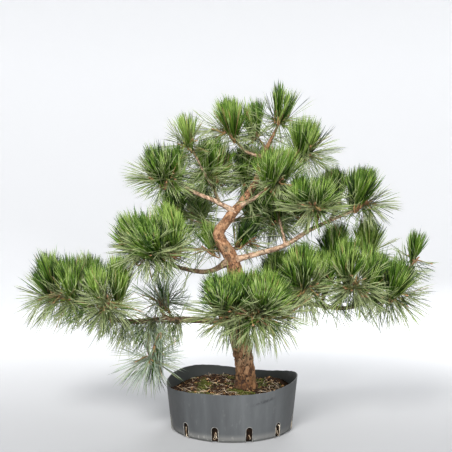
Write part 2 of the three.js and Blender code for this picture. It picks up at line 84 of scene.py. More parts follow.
# The bead round each slot: its radius, how far outside the slot it runs, and how it is set in the wall
LIP = {"bead": 0.8, "outside": 0.3, "sunk": 0.1, "raised": 0.3, "points": 34}
SOIL = {
    "top": 100, "edge": 90, "seat": 35, "seat_radius": 62, "roll": 3, "roll_length": (31, 27),
    "roll_phase": 1, "roll_start": 5, "gap": 0.7, "heap_start": 3,
}
# Litter heaped behind the trunk: the middle of each heap, its height and its half width
HEAPS = [(-55, 110, 15, 75), (110, 80, 9, 55), (-110, 10, 5, 50)]

TRUNK = {
    "route": [
        (35, 0, 88), (36, 0, 150), (23, 3, 228), (13, 8, 300), (14, 11, 378), (-2, 10, 440),
        (-34, 2, 500), (-15, -4, 534), (28, -6, 586), (66, 4, 643), (79, 8, 697), (112, -2, 767),
    ],
    "girth": [(100, 25.5), (240, 25.5), (380, 21.5), (460, 17.5), (540, 13), (620, 9), (767, 4)],
    "flare": 0.24,
    "flare_height": 16,
    "lobes": (5, 0.4, 0.7),
    "swell": 0.05,
    "buried": 7,
    "corners": 104,
    "step": 1.7,
    "plates": 16,
    "relief": 0.14,
}
# Knots: how far along the limb, the way they face, how high they stand and their half width
KNOTS = {
    "trunk": [(0.56, 0.6, 3.5, 9), (0.30, 2.2, 3, 10), (0.66, 3.6, 3, 8), (0.45, 4.6, 3, 9)],
    "left_low": [(0.42, 0.2, 6, 8), (0.36, 3.3, 5, 7), (0.62, 1.6, 3.5, 7)],
}
# Bark: how tall a plate is for its width and how narrow it may be, then the depth of fissures,
# the unevenness of plates, the depth and unevenness of flakes, and the grain, as shares of the relief
BARK = {
    "tall": 2.1, "narrowest": 1.5, "fissure": 0.8, "plate": 0.6, "flake": 0.25, "flake_plate": 0.4,
    "grain": 0.15,
}

# Boughs: the limb that carries each, the line of its middle, and its radius at both ends
BOUGHS = {
    "left_low": (
        "trunk", [(17, 7, 262), (-60, -5, 275), (-175, -26, 280), (-294, -46, 282), (-416, -60, 345)],
        (10.5, 4.5),
    ),
    "left_low_outer": ("left_low", [(-344, -52, 300), (-382, 34, 328)], (5, 3.2)),
    "left_low_front": ("left_low", [(-301, -47, 284), (-314, -108, 334)], (5, 3.2)),
    "left_low_hanging": ("left_low", [(-208, -30, 279), (-214, -50, 242)], (4.6, 3)),
    "left_low_inner": ("left_low", [(-165, -24, 280), (-183, 4, 296), (-192, 42, 313)], (4.8, 3)),
    "left_middle": (
        "trunk", [(-7, 10, 430), (-59, -18, 405), (-132, -56, 417), (-185, -90, 440)], (8, 4),
    ),
    "right_middle": (
        "trunk", [(0, 10, 432), (41, 0, 443), (136, -24, 472), (204, -38, 514), (313, -22, 562)],
        (8.5, 4),
    ),
    "right_middle_front": ("right_middle", [(192, -36, 505), (201, -76, 556)], (4.6, 3)),
    "right_middle_back": ("right_middle", [(249, -34, 532), (288, 48, 572)], (4.2, 3)),
    "right_middle_inner": ("right_middle", [(140, -26, 474), (129, 38, 539)], (4.6, 3)),
    "right_low": (
        "trunk", [(16, 8, 300), (80, 4, 322), (194, -14, 321), (294, -38, 312), (390, -48, 346)],
        (9, 4.2),
    ),
    "right_low_far": ("right_low", [(365, -46, 332), (419, -34, 368), (462, -27, 417)], (4.6, 2.8)),
    "right_low_inner": ("right_low", [(179, -12, 323), (194, -82, 368)], (4.6, 3)),
    "right_low_front": ("right_low", [(264, -32, 312), (294, -112, 379)], (5, 3)),
    "right_low_back": ("right_low", [(228, -22, 317), (259, 33, 357), (282, 82, 411)], (4.8, 3)),
    "right_low_top": ("right_low", [(310, -40, 314), (343, -1, 363), (364, 38, 423)], (4.8, 3)),
    "front": ("trunk", [(17, 4, 277), (34, -59, 300), (50, -122, 327)], (7, 4)),
    "top_left": (
        "trunk", [(10, -6, 560), (-46, -30, 589), (-107, -48, 615), (-145, -54, 643)], (7.5, 3.6),
    ),
    "top_left_inner": ("top_left", [(-32, -24, 581), (-51, -18, 638)], (4.6, 3)),
    "top_left_small": ("top_left_inner", [(-43, -21, 614), (-69, -38, 657), (-99, -43, 716)], (3.4, 2.4)),
    "apex_left": ("trunk", [(78, 8, 706), (40, 2, 718), (14, -6, 740)], (5, 3)),
    "apex_right": ("trunk", [(77, 8, 668), (118, -2, 684), (158, -10, 709)], (5.5, 3)),
    "top_right": ("trunk", [(22, -6, 578), (58, -35, 594), (98, -60, 623)], (6.5, 3.6)),
    "back_left": ("trunk", [(-28, 2, 503), (-50, 54, 523), (-93, 126, 554)], (6, 3.4)),
    "back_right": ("trunk", [(-17, -3, 532), (23, 54, 542), (87, 128, 554)], (6, 3.4)),
    "back_low": ("trunk", [(15, 9, 338), (50, 57, 344), (112, 128, 360)], (6.5, 3.6)),
}
# Boughs thicker than "thick" have the second number of corners and of plates round them
BOUGH = {
    "taper": 0.8, "step": 2.1, "collar": 0.38, "collar_length": 0.9, "relief": 0.11,
    "thick": 7, "corners": (26, 40), "plates": (5, 7),
}
DARK_BOUGHS = {"left_low", "left_middle", "right_low", "front", "back_low"}
# Masses of needles: the middle and half size of each one's space and how many shoots it has, then
# how young and how lit its needles are painted, from 0 to 1, partly young growth and partly painted
# light and shade (low where a mass sits in shade), how full it is, how high its top stands in its space
# (below nought where it hangs), how far its tufts fan, the share of its width over which they
# stand upright, and how much old growth hangs below. It stands on the bough of its own name, unless
# a holder is given, and on its end, unless the spot where it springs from the trunk is given.
Mass = namedtuple(
    "Mass",
    "name middle half shoots vigour fullness lift fan crown skirt holder spring",
    defaults=(None, None),
)
MASSES = [
    Mass("left_low_tip", (-446, -62, 370), (95, 92, 88), 7, 0.68, 0.95, 0.9, 0.48, 0.6, 0.9, "left_low"),
    Mass("left_low_outer", (-401, 64, 386), (56, 60, 66), 3, 0.85, 0.95, 0.88, 0.35, 0.8, 0.7),
    Mass("left_low_front", (-299, -138, 362), (74, 68, 92), 5, 0.62, 1, 0.9, 0.45, 0.8, 0.85),
    Mass("left_low_hanging", (-207, -66, 198), (78, 66, 76), 4, 0.2, 0.4, -0.95, 1.3, 0.7, 1.4),
    Mass("left_low_inner", (-203, 78, 343), (84, 70, 72), 3, 0.2, 0.3, 1, 1.8, 0.8, 1.2),
    Mass("left_middle", (-209, -120, 492), (104, 88, 86), 8, 0.64, 1, 1, 1, 0.95, 1.1),
    Mass(
        "left_small", (-88, 30, 480), (46, 42, 52), 2, 0.95, 0.8, 1, 0.4, 0.8, 0.4, "trunk", (-12, 8, 454),
    ),
    Mass(
        "right_middle_tip", (351, -14, 606), (62, 74, 68), 5, 0.66, 1, 0.96, 0.45, 0.84, 0.6, "right_middle",
    ),
    Mass("right_middle_front", (203, -100, 597), (72, 66, 72), 6, 0.8, 1, 1, 0.9, 0.84, 0.6),
    Mass("right_middle_back", (298, 92, 618), (54, 64, 64), 4, 0.9, 1, 1, 0.35, 0.9, 0.4),
    Mass("right_middle_inner", (137, 72, 579), (62, 62, 60), 4, 0.45, 0.9, 1, 0.5, 0.95, 1),
    Mass("right_low_tip", (406, -56, 372), (76, 86, 92), 6, 0.66, 1, 1, 0.5, 0.76, 0.8, "right_low"),
    Mass("right_low_far", (480, -24, 450), (42, 40, 44), 2, 0.8, 0.9, 1, 0.3, 0.6, 0.2),
    Mass("right_low_inner", (185, -120, 398), (74, 66, 84), 5, 0.58, 1, 1, 0.5, 0.92, 0.9),
    Mass("right_low_front", (298, -150, 406), (68, 66, 97), 6, 0.66, 1, 1, 0.5, 0.84, 0.9),
    Mass("right_low_back", (286, 124, 470), (66, 70, 66), 4, 0.85, 0.85, 0.96, 0.5, 0.85, 0.6),
    Mass("right_low_top", (374, 62, 477), (52, 60, 66), 4, 0.95, 0.9, 0.94, 0.45, 0.84, 0.5),
    Mass("front", (40, -165, 335), (134, 82, 104), 12, 0.58, 1, 1, 1.1, 0.95, 1.6),
    Mass("top_left_tip", (-171, -72, 667), (74, 70, 70), 6, 0.7, 1, 1, 0.6, 0.8, 0.9, "top_left"),
    Mass("top_left_inner", (-56, 12, 686), (62, 68, 70), 5, 0.9, 0.9, 1, 0.35, 0.95, 0.8),
    Mass("top_left_small", (-116, -44, 752), (44, 44, 48), 3, 0.85, 0.75, 0.78, 0.3, 0.8, 1.2),
    Mass("apex", (130, -2, 828), (52, 56, 74), 5, 1, 0.55, 1.05, 0.45, 0.8, 0.3, "trunk"),
    Mass("apex_left", (-16, -25, 794), (62, 62, 66), 5, 0.85, 0.85, 0.91, 0.45, 0.84, 0.3),
    Mass("apex_middle", (62, 40, 800), (42, 48, 82), 4, 0.8, 0.8, 1, 0.3, 0.84, 0.4, "trunk", (92, 4, 726)),
    Mass("apex_right", (200, -8, 737), (66, 68, 66), 5, 0.85, 0.9, 0.94, 0.5, 0.84, 0.6),
    Mass("top_right", (119, -88, 658), (62, 62, 62), 5, 0.95, 1, 1, 0.6, 0.84, 0.5),
    Mass("top_back", (61, 104, 685), (80, 72, 74), 5, 0.8, 1, 1, 0.45, 0.95, 1.2, "trunk", (64, 4, 640)),
    Mass("back_left", (-120, 166, 583), (90, 78, 72), 6, 0.95, 0.85, 1, 0.5, 0.95, 1.2),
    Mass("back_right", (114, 172, 567), (90, 78, 72), 6, 0.6, 0.9, 1, 0.5, 0.95, 1.2),
    Mass("back_low", (152, 168, 386), (90, 80, 78), 6, 0.52, 1, 1, 0.5, 0.95, 1.2),
    Mass("right_small", (58, 40, 498), (50, 42, 42), 2, 0.25, 0.6, 1, 1, 0.84, 1, "trunk", (-14, 7, 458)),
]
GAP = 0.35
STEM = {"radius": 3.0, "thin": 2.4, "straight": 0.45, "share": 0.75}
SHOOTS = {"drop": 0.34, "room": 56, "smallest": 12, "lowest": -0.45, "uneven_turn": 0.8, "uneven": 0.2}
# A tuft is a candle closely set with needles. Tufts stand this far apart over a mass's top, gathered
# in brushes, and sparse sprays of older needles hang from the twigs below them.
TUFT = {
    "apart": 27, "nearest": 20, "candle": (16, 50), "uneven": 20, "flat_top": (0.06, 0.45), "depth": 115,
    "own_above": 0.05, "brushes": 0.5, "gathered": 0.5, "lowered": (-16, 18), "lean": 42,
    "apart_below": 0.72, "above": 0.94, "lowest": 0.84, "sag": 26,
    "hanging": 1.4, "hanging_rise": (-0.6, 0.3),
}
# The share of a bough from which needles stand on the bough itself, and how many pairs a millimetre
NEEDLED = {
    "trunk": (0.83, 0.9), "left_low": (0.4, 2.4), "left_low_hanging": (0, 2.5),
    "left_middle": (0.5, 0.2), "right_low": (0.4, 0.3), "right_middle": (0.55, 0.15),
    "right_low_far": (0.3, 1.5), "top_left": (0.25, 0.35), "top_left_small": (0.2, 2),
    "top_left_inner": (0, 1), "top_right": (0.2, 0.5), "apex_left": (0.2, 0.5), "back_left": (0.2, 1),
    "back_right": (0.2, 0.8),
}
NEEDLED_ELSE = (0.15, 0.25)
# Needles: their length, thickness and unevenness, how a pair spreads, how old ones sink and how they
# bend, then what is too short or too near a limb, and how many pairs a candle, a spray and a twig
# have. Last, how far they may reach past their mass's space, if they hang, and past the solids' box.
NEEDLE = {
    "length": 84, "uneven": 0.1, "radius": 0.85, "spread": 0.05, "sunk": 0.25, "bow": 0.075,
    "bend_at": 0.74, "shortest": 0.6, "clear": 0.8, "pairs": 57, "lock": 3, "hanging_pairs": 10,
    "old_pairs": 4, "stray_share": 0.8, "over": 20, "old_over": 38, "proud": 16,
}

# Colours, as their red, green and blue in 0 to 255
# the first five needle colours are one ladder from needles in painted shade to lit young ones
NEEDLE_TINTS = {
    "needle_shaded": (26, 47, 9),
    "needle_deep": (54, 88, 19),
    "needle_green": (84, 119, 34),
    "needle_bright": (107, 140, 47),
    "needle_fresh": (150, 174, 90),
    "needle_blue_green": (164, 180, 158),
    "needle_olive": (163, 175, 124),
    "needle_straw": (164, 134, 92),
}
TINT_NAMES = list(NEEDLE_TINTS)
YOUNG_TINTS = 5


def paint(colour):
    """A linear colour with alpha from red, green and blue in 0 to 255."""
    shares = np.asarray(colour, float) / 255
    linear = np.where(shares <= 0.04045, shares / 12.92, ((shares + 0.055) / 1.055) ** 2.4)
    return (*(float(share) for share in linear), 1.0)


# Node trees


def reckoned(operation, swapped=False):
    """An operator of Value, which adds one Math node."""

    def reckon(self, *others):
        values = (*others, self) if swapped else (self, *others)
        return self.tree.add("ShaderNodeMath", {"operation": operation}, dict(enumerate(values)))

    return reckon


class Value:
    """A socket's value that can be reckoned with."""

    def __init__(self, tree, socket):
        self.tree = tree
        self.socket = socket

    __add__ = __radd__ = reckoned("ADD")
    __sub__, __rsub__ = reckoned("SUBTRACT"), reckoned("SUBTRACT", swapped=True)
    __mul__ = __rmul__ = reckoned("MULTIPLY")
    __truediv__ = reckoned("DIVIDE")
    at_most, at_least = reckoned("MINIMUM"), reckoned("MAXIMUM")
    absolute, sine, cosine = reckoned("ABSOLUTE"), reckoned("SINE"), reckoned("COSINE")

    def between(self, low, high):
        """0 below low, 1 above high, and smooth from one to the other."""
        sockets = {"Value": self, "From Min": low, "From Max": high}
        return self.tree.add("ShaderNodeMapRange", {"interpolation_type": "SMOOTHSTEP"}, sockets)


class Tree:
    """A node tree with one way of adding nodes, for finishes and for made shapes alike."""

    def __init__(self, tree):
        self.tree = tree

    def add(self, kind, settings=None, sockets=None, out=0):
        node = self.tree.nodes.new(kind)
        for name, setting in (settings or {}).items():
            if name == "stops":
                self.set_stops(node.color_ramp.elements, setting)
            else:
                setattr(node, name, setting)
        for name, value in (sockets or {}).items():
            self.feed(node.inputs[name], value)
        return Value(self, node.outputs[out])

    def feed(self, socket, value):
        if isinstance(value, Value):
            self.tree.links.new(value.socket, socket)
        else:
            socket.default_value = value

    @staticmethod
    def set_stops(elements, stops):
        while len(elements) < len(stops):
            elements.new(1.0)
        for element, (place, colour) in zip(elements, stops):
            element.position = place
            element.color = paint(colour)

    def place(self):
        return self.add("ShaderNodeTexCoord", out="Object")

    def axis(self, name):
        """How far each spot lies along X, Y or Z, in metres."""
        return self.add("ShaderNodeSeparateXYZ", {}, {"Vector": self.place()}, name)

    def vector(self, x, y, z):
        return self.add("ShaderNodeCombineXYZ", {}, {"X": x, "Y": y, "Z": z})

    def noise(self, scale, detail=3, tall=1):
        """Noise with so many lumps to a metre, drawn out upwards where tall is under 1."""
        where = self.place()
        if tall != 1:
            where = self.add("ShaderNodeMapping", {}, {"Vector": where, "Scale": (1, 1, tall)})
        sockets = {"Vector": where, "Scale": scale, "Detail": detail, "Roughness": 0.55}
        return self.add("ShaderNodeTexNoise", {}, sockets)

    def carried(self, name):
        """A number that the mesh carries at each of its points."""
        return self.add("ShaderNodeAttribute", {"attribute_name": name}, out="Fac")

    def blend(self, share, first, second, how="MIX"):
        settings = {"data_type": "RGBA", "blend_type": how}
        return self.add("ShaderNodeMix", settings, {0: share, 6: first, 7: second}, 2)

    def ramp(self, share, stops):
        return self.add("ShaderNodeValToRGB", {"stops": stops}, {"Fac": share})

    def bump(self, height, strength, distance):
        sockets = {"Height": height, "Strength": strength, "Distance": distance * MM}
        return self.add("ShaderNodeBump", {}, sockets)


def finish_named(name, colour, **sockets):
    """A Principled finish. Its sockets are plain values, or functions that make them in the tree."""
    material = bpy.data.materials.new(name)
    material.use_nodes = True
    tree = Tree(material.node_tree)
    surface = material.node_tree.nodes["Principled BSDF"]
    for socket, value in {"base_color": colour, **sockets}.items():
        label = socket.replace("_", " ").title().replace("Ior", "IOR")
        tree.feed(surface.inputs[label], value(tree) if callable(value) else value)
    return material


def bark_colour(light, mid, dark, moss, foot=(255, 255, 255), upper=(255, 255, 255)):
    """Plates with dark fissures and a green-grey bloom, in other tones by the foot and far up."""
    deep = tuple((one + other) // 2 for one, other in zip(mid, dark))
    pale = tuple(min(255, channel + 30) for channel in light)

    def colour(tree):
        shade = tree.carried("plate") * 0.42 + tree.noise(260, 4, 0.35) * 0.4 + tree.noise(38) * 0.36
        face = tree.ramp(shade, [(0.4, deep), (0.5, mid), (0.6, light), (0.78, pale)])
        bloomed = tree.blend(tree.noise(34).between(0.5, 0.72) * 0.55, face, paint(moss))
        height = tree.axis("Z")
        toned = tree.blend(1 - height.between(0.1, 0.22), bloomed, paint(foot), "MULTIPLY")
        toned = tree.blend(height.between(0.33, 0.42), toned, paint(upper), "MULTIPLY")
        return tree.blend(tree.carried("crack").between(0.15, 0.9), paint(dark), toned)

    return colour


def bark_bump(tree):
    return tree.bump(tree.noise(900, 5, 0.3), 0.8, 0.9)


def shoot_colour(tree):
    """A young shoot is grey-tan where it is old and orange-tan and green at its growing end."""
    along = tree.carried("along") + (tree.noise(420) - 0.5) * 0.25
    stops = [(0.0, (104, 82, 62)), (0.4, (138, 104, 74)), (0.7, (152, 114, 76)), (1.0, (124, 122, 66))]
    return tree.ramp(along, stops)


def plastic_colour(tree):
    """Grey plastic that has bleached in streaks, with scuffs, a smear, a worn bottom edge and painted shade
    at its sides and inside.
    """
    across, height = tree.axis("X"), tree.axis("Z")
    greys = [(0.3, (62, 64, 66)), (0.5, (77, 80, 82)), (0.7, (92, 95, 97))]
    base = tree.ramp(tree.noise(9, 4, 0.45) * 0.6 + tree.noise(55, 3, 0.05) * 0.4, greys)
    scuffs = tree.noise(120, 5, 0.4).between(0.6, 0.72)
    foot = 1 - height.between(0.006, 0.024)
    worn = tree.blend((foot * (0.42 + scuffs * 0.6)).at_most(1), base, paint((150, 149, 144)))
    dusty = tree.blend(scuffs * 0.12, worn, paint((132, 134, 133)))
    off = height - 0.096 - (across - 0.07) * 0.25 + (tree.noise(45) - 0.5) * 0.01
    line = 1 - (off.absolute() / 0.0045).at_most(1)
    ends = across.between(0.034, 0.08) * (1 - across.between(0.098, 0.108))
    smear = line * ends * tree.noise(160, 4).between(0.3, 0.55)
    smeared = tree.blend(smear * 0.85, dusty, paint((40, 42, 44)))
    # painted shade: the pot darker towards its left and right sides
    sides_painted_shade = tree.blend(across.absolute().between(0.095, 0.17) * 0.75, smeared, paint((36, 37, 36)))
    # painted shade over the inside wall of the pot
    return tree.blend(tree.carried("inside") * 0.8, sides_painted_shade, paint((54, 58, 56)))


def plastic_roughness(tree):
    return 0.42 + tree.noise(40, 4) * 0.22


def plastic_bump(tree):
    return tree.bump(tree.noise(1400) * 0.3 + tree.noise(70) * 0.7, 0.25, 0.6)


def soil_colour(tree):
    earth = tree.ramp(tree.noise(150, 5), [(0.3, (17, 11, 7)), (0.5, (42, 28, 18)), (0.7, (84, 58, 38))])
    shaded = tree.blend(0.7 - tree.axis("Z").between(0.05, 0.08) * 0.7, earth, paint((10, 8, 6)))
    return tree.blend(tree.carried("moss") * 0.55, shaded, paint((70, 78, 32)))


def speckled(dark, light, lumps):
    """A colour that wanders between two, with so many lumps to a metre."""

    def colour(tree):
        return tree.ramp(tree.noise(lumps), [(0.35, dark), (0.65, light)])

    return colour


def rough_bump(scale, strength, distance):
    def bump(tree):
        return tree.bump(tree.noise(scale, 4), strength, distance)

    return bump


# Barks: roughness, the light, middle, dark and mossy colours, and the tones by the foot and far up
BARKS = {
    "trunk_bark": (
        0.92, (188, 145, 108), (144, 104, 75), (54, 38, 28), (150, 138, 112),
        (168, 156, 134), (218, 210, 204),
    ),
    "bough_dark": (0.92, (118, 96, 72), (88, 69, 49), (34, 26, 20), (84, 84, 58)),
    "bough_tan": (0.88, (188, 157, 130), (152, 121, 96), (76, 56, 43), (158, 146, 122)),
}
# Small things: the dark and light colours, lumps to a metre, roughness and specular level
SPECKLES = {
    "plastic_lip": ((96, 97, 96), (158, 155, 148), 160, 0.5, 0.5),
    "bud": ((150, 84, 52), (206, 168, 128), 500, 0.6, 0.5),
    "grit": ((18, 12, 8), (76, 54, 38), 60, 0.95, 0.1),
    "chip": ((132, 86, 52), (232, 190, 132), 45, 0.9, 0.2),
    "fallen_needle": ((136, 100, 66), (218, 192, 148), 30, 0.7, 0.5),
    "moss": ((66, 82, 24), (126, 134, 50), 40, 0.9, 0.5),
    "root": ((176, 148, 118), (234, 220, 196), 90, 0.8, 0.5),
}
FINISHES = {
    "young_shoot": finish_named("young_shoot", shoot_colour, roughness=0.8, normal=rough_bump(700, 0.5, 0.4)),
    "plastic": finish_named("plastic", plastic_colour, roughness=plastic_roughness, normal=plastic_bump),
    "soil": finish_named(
        "soil", soil_colour, roughness=0.97, specular_ior_level=0.1, normal=rough_bump(500, 0.8, 1.2),
    ),
}
for name, (roughness, *colours) in BARKS.items():
    FINISHES[name] = finish_named(name, bark_colour(*colours), roughness=roughness, normal=bark_bump)
for name, (dark, light, lumps, roughness, shine) in SPECKLES.items():
    colour = speckled(dark, light, lumps)
    FINISHES[name] = finish_named(name, colour, roughness=roughness, specular_ior_level=shine)
NEEDLE_FINISHES = [
    finish_named(name, paint(tint), roughness=0.42, specular_ior_level=0.32)
    for name, tint in NEEDLE_TINTS.items()
]


# Meshes


def placed(name, data):
    """A new object in the scene, at the origin and unturned."""
    piece = bpy.data.objects.new(name, data)
    bpy.context.scene.collection.objects.link(piece)
    return piece


def mesh_object(name, points, faces, finishes=(), worn=None, carried=None):
    """An object whose place is in its mesh. Each array holds faces with the same number of points."""
    mesh = bpy.data.meshes.new(name)
    sizes = np.concatenate([np.full(len(group), group.shape[1]) for group in faces])
    loops = np.concatenate([group.ravel() for group in faces])
    mesh.vertices.add(len(points))
    mesh.vertices.foreach_set("co", (np.asarray(points) * MM).astype(np.float32).ravel())
    mesh.loops.add(len(loops))
    mesh.loops.foreach_set("vertex_index", loops.astype(np.int32))
    mesh.polygons.add(len(sizes))
    mesh.polygons.foreach_set("loop_start", (np.cumsum(sizes) - sizes).astype(np.int32))
    mesh.update(calc_edges=True)
    for finish in finishes:
        mesh.materials.append(finish)
    if worn is not None:
        mesh.polygons.foreach_set("material_index", np.asarray(worn, np.int32))
    for key, values in (carried or {}).items():
        numbers = mesh.attributes.new(key, "FLOAT", "POINT").data
        numbers.foreach_set("value", np.asarray(values, np.float32).ravel())
    mesh.shade_smooth()
    mesh.validate()
    return placed(name, mesh)


def settle(piece, slot, *nodes):
    """The piece belongs to the plant and stands for these solids."""
    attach(piece, "root")
    if nodes:
        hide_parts(*nodes)
    return piece


def unit(vectors):
    return vectors / np.linalg.norm(vectors, axis=-1, keepdims=True)


def round_angles(count):
    """Evenly spaced angles of a full turn."""
    return 2 * math.pi * np.arange(count) / count


def about_axis(radius, azimuth, height):
    """Points round the Z axis. The azimuth runs from the front to the viewer's right."""
    x, y = radius * np.sin(azimuth), -radius * np.cos(azimuth)
    return np.stack([x, y, height + 0 * x], -1)


def loft_faces(tubes, rings, corners):
    """Faces of closed tubes whose points go ring by ring, with a point at each end after them."""
    first = np.arange(corners)
    after = np.roll(first, -1)
    ring = (np.arange(rings - 1) * corners)[:, None]
    side = np.stack([ring + first, ring + after, ring + corners + after, ring + corners + first], -1)
    last = first + (rings - 1) * corners
    foot = np.stack([after, first, np.full(corners, rings * corners)], -1)
    top = np.stack([last, np.roll(last, -1), np.full(corners, rings * corners + 1)], -1)
    starts = (np.arange(tubes) * (rings * corners + 2))[:, None, None]
    ends = np.concatenate([foot, top]) + starts
    return [(side.reshape(-1, 4) + starts).reshape(-1, 4), ends.reshape(-1, 3)]


def frames_along(lines):
    """Two directions across each of the lines at each point, without twist. Lines are (n, points, 3)."""
    ways = unit(np.gradient(lines, axis=1))
    start = np.where(np.abs(ways[:, :1, 2:]) > 0.9, [[[1.0, 0, 0]]], [[[0, 0, 1.0]]])
    side = np.empty_like(lines)
    current = start[:, 0]
    for i in range(lines.shape[1]):
        way = ways[:, i]
        current = unit(current - np.sum(current * way, -1, keepdims=True) * way)
        side[:, i] = current
    return side, np.cross(ways, side)


def spokes(side, third, count):
    """Directions all round a line, from the two across it."""
    angle = round_angles(count)
    return side[..., None, :] * np.cos(angle)[:, None] + third[..., None, :] * np.sin(angle)[:, None]


def tubes(lines, radii, corners):
    """Points of closed tubes along lines (n, points, 3), with a radius at each point."""
    out = spokes(*frames_along(lines), corners)
    rings = lines[:, :, None] + out * np.asarray(radii)[..., None, None]
    points = np.concatenate([rings.reshape(len(lines), -1, 3), lines[:, [0, -1]]], 1)
    return points, loft_faces(*lines.shape[:2], corners)


def joined(parts):
    """Several (points, faces) as one."""
    points, faces, start = [], [], 0
    for spots, groups in parts:
        spots = np.asarray(spots).reshape(-1, 3)
        points.append(spots)
        faces.extend(group + start for group in groups)
        start += len(spots)
    return np.concatenate(points), faces


# Curves, as in the solid model


def curve_through(route, per_span=60):
    """Close points on a curve through a route, with knots as far apart as the roots of its steps."""
    route = np.asarray(route, float)
    route = np.concatenate([[2 * route[0] - route[1]], route, [2 * route[-1] - route[-2]]])
    share = np.linspace(0, 1, per_span, endpoint=False)[:, None]
    spans = []
    for p0, p1, p2, p3 in zip(route, route[1:], route[2:], route[3:]):
        d0, d1, d2 = (math.sqrt(np.linalg.norm(b - a)) for a, b in ((p0, p1), (p1, p2), (p2, p3)))
        t1 = d1 * ((p1 - p0) / d0 - (p2 - p0) / (d0 + d1) + (p2 - p1) / d1)
        t2 = d1 * ((p2 - p1) / d1 - (p3 - p1) / (d1 + d2) + (p3 - p2) / d2)
        square = -3 * p1 + 3 * p2 - 2 * t1 - t2
        cube = 2 * p1 - 2 * p2 + t1 + t2
        spans.append(p1 + t1 * share + square * share**2 + cube * share**3)
    return np.concatenate([*spans, route[-2:-1]])


def evenly(points, count):
    """Points evenly spaced along a line of close points."""
    along = np.concatenate([[0], np.cumsum(np.linalg.norm(np.diff(points, axis=0), axis=1))])
    places = np.linspace(0, along[-1], count)
    return np.stack([np.interp(places, along, points[:, axis]) for axis in range(3)], -1)


def length_of(points):
    return float(np.sum(np.linalg.norm(np.diff(points, axis=0), axis=1)))


def bent(start, knee, end, count):
    """Points on quadratic curves. Each of the three is (n, 3)."""
    share = np.linspace(0, 1, count)[None, :, None]
    start, knee, end = (np.asarray(spot, float)[:, None] for spot in (start, knee, end))
    return start * (1 - share) ** 2 + knee * 2 * share * (1 - share) + end * share**2


# Bark


def table_noise(across, along, columns, seed):
    """Smooth noise from -1 to 1 that closes on itself after so many columns."""
    rows = int(along.max()) + 3
    table = np.random.default_rng(seed).uniform(-1, 1, (rows, columns))
    column, row = np.floor(across).astype(int), np.floor(along).astype(int)
    u, v = across - column, along - row
    u, v = u * u * (3 - 2 * u), v * v * (3 - 2 * v)

    def in_row(r):
        return table[r % rows, column % columns] * (1 - u) + table[r % rows, (column + 1) % columns] * u

    return in_row(row) * (1 - v) + in_row(row + 1) * v


def plates(across, along, columns, seed):
    """How far each place is inside its bark plate, from 0 at a fissure, and the plate's own number."""
    rows = int(along.max()) + 4
    table = np.random.default_rng(seed).random((rows, columns, 3))
    column, row = np.floor(across).astype(int), np.floor(along).astype(int)
    nearest = np.full(across.shape, 9.0)
    second = nearest.copy()
    own = np.zeros(across.shape)
    for r in (row - 1, row, row + 1):
        for c in (column - 1, column, column + 1):
            cell = table[r % rows, c % columns]
            apart = np.hypot(c + cell[..., 0] - across, r + cell[..., 1] - along)
            closer = apart < nearest
            second = np.where(closer, nearest, np.minimum(second, apart))
            own = np.where(closer, cell[..., 2], own)
            nearest = np.where(closer, apart, nearest)
    return second - nearest, own


def smooth_step(low, high, values):
    share = np.clip((values - low) / (high - low), 0, 1)
    return share * share * (3 - 2 * share)


def limb_with_bark(line, radius, columns, depth, seed, knots=()):
    """A closed limb with so many columns of bark plates, from its radius at each ring and corner."""
    count, corners = radius.shape
    mean = radius.mean(1)
    step = np.linalg.norm(np.gradient(line, axis=0), axis=1)
    cell = np.maximum(2 * math.pi * mean / columns, BARK["narrowest"])
    rows = np.cumsum(step / (BARK["tall"] * cell))
    across, along = np.meshgrid(np.arange(corners) / corners * columns, rows)
    warp = table_noise(across * 2, along * 3, columns * 2, seed + 1)
    drift = table_noise(across, along * 1.5, columns, seed + 4)
    inside, own = plates(across + 0.35 * warp + 0.5 * drift, along + 0.45 * drift, columns, seed)
    flake_inside, flake_own = plates(across * 3 + warp, along * 4, columns * 3, seed + 2)
    crack = smooth_step(0.0, 0.2, inside)
    flake = smooth_step(0.0, 0.3, flake_inside)
    grain = table_noise(across * 6, along * 4, columns * 6, seed + 3)
    healed = table_noise(across * 0.5 + 1, along, columns // 2, seed + 5)
    deep = 0.45 + 0.55 * smooth_step(-0.5, 0.5, healed)
    reach = depth * mean[:, None]
    relief = reach * (BARK["fissure"] * (crack - 1) * deep + BARK["plate"] * (own - 0.5) * crack)
    flakes = BARK["flake"] * (flake - 1) + BARK["flake_plate"] * (flake_own - 0.5)
    relief += reach * (flakes + BARK["grain"] * grain)
    share = np.linspace(0, 1, count)[:, None]
    for place, way, height, size in knots:
        turn = np.abs((round_angles(corners)[None] - way + math.pi) % (2 * math.pi) - math.pi)
        spread = (turn * mean[:, None] / size) ** 2 + ((share - place) * length_of(line) / size) ** 2
        relief = relief + height * np.exp(-spread)
    side, third = frames_along(line[None])
    rings = line[:, None] + spokes(side[0], third[0], corners) * (radius + relief)[..., None]
    points = np.concatenate([rings.reshape(-1, 3), line[[0, -1]]])

    def with_ends(values):
        return np.concatenate([values.ravel(), values[0, :1], values[-1, :1]])

    carried = {
        "crack": with_ends(1 - (1 - crack) * deep - 0.25 * (1 - flake)),
        "plate": with_ends(0.65 * own + 0.35 * flake_own),
    }
    return points, loft_faces(1, count, corners), carried


def limb_line(name):
    return curve_through(TRUNK["route"] if name == "trunk" else BOUGHS[name][1])


def girth_at(heights):
    return np.interp(heights, *zip(*TRUNK["girth"]))


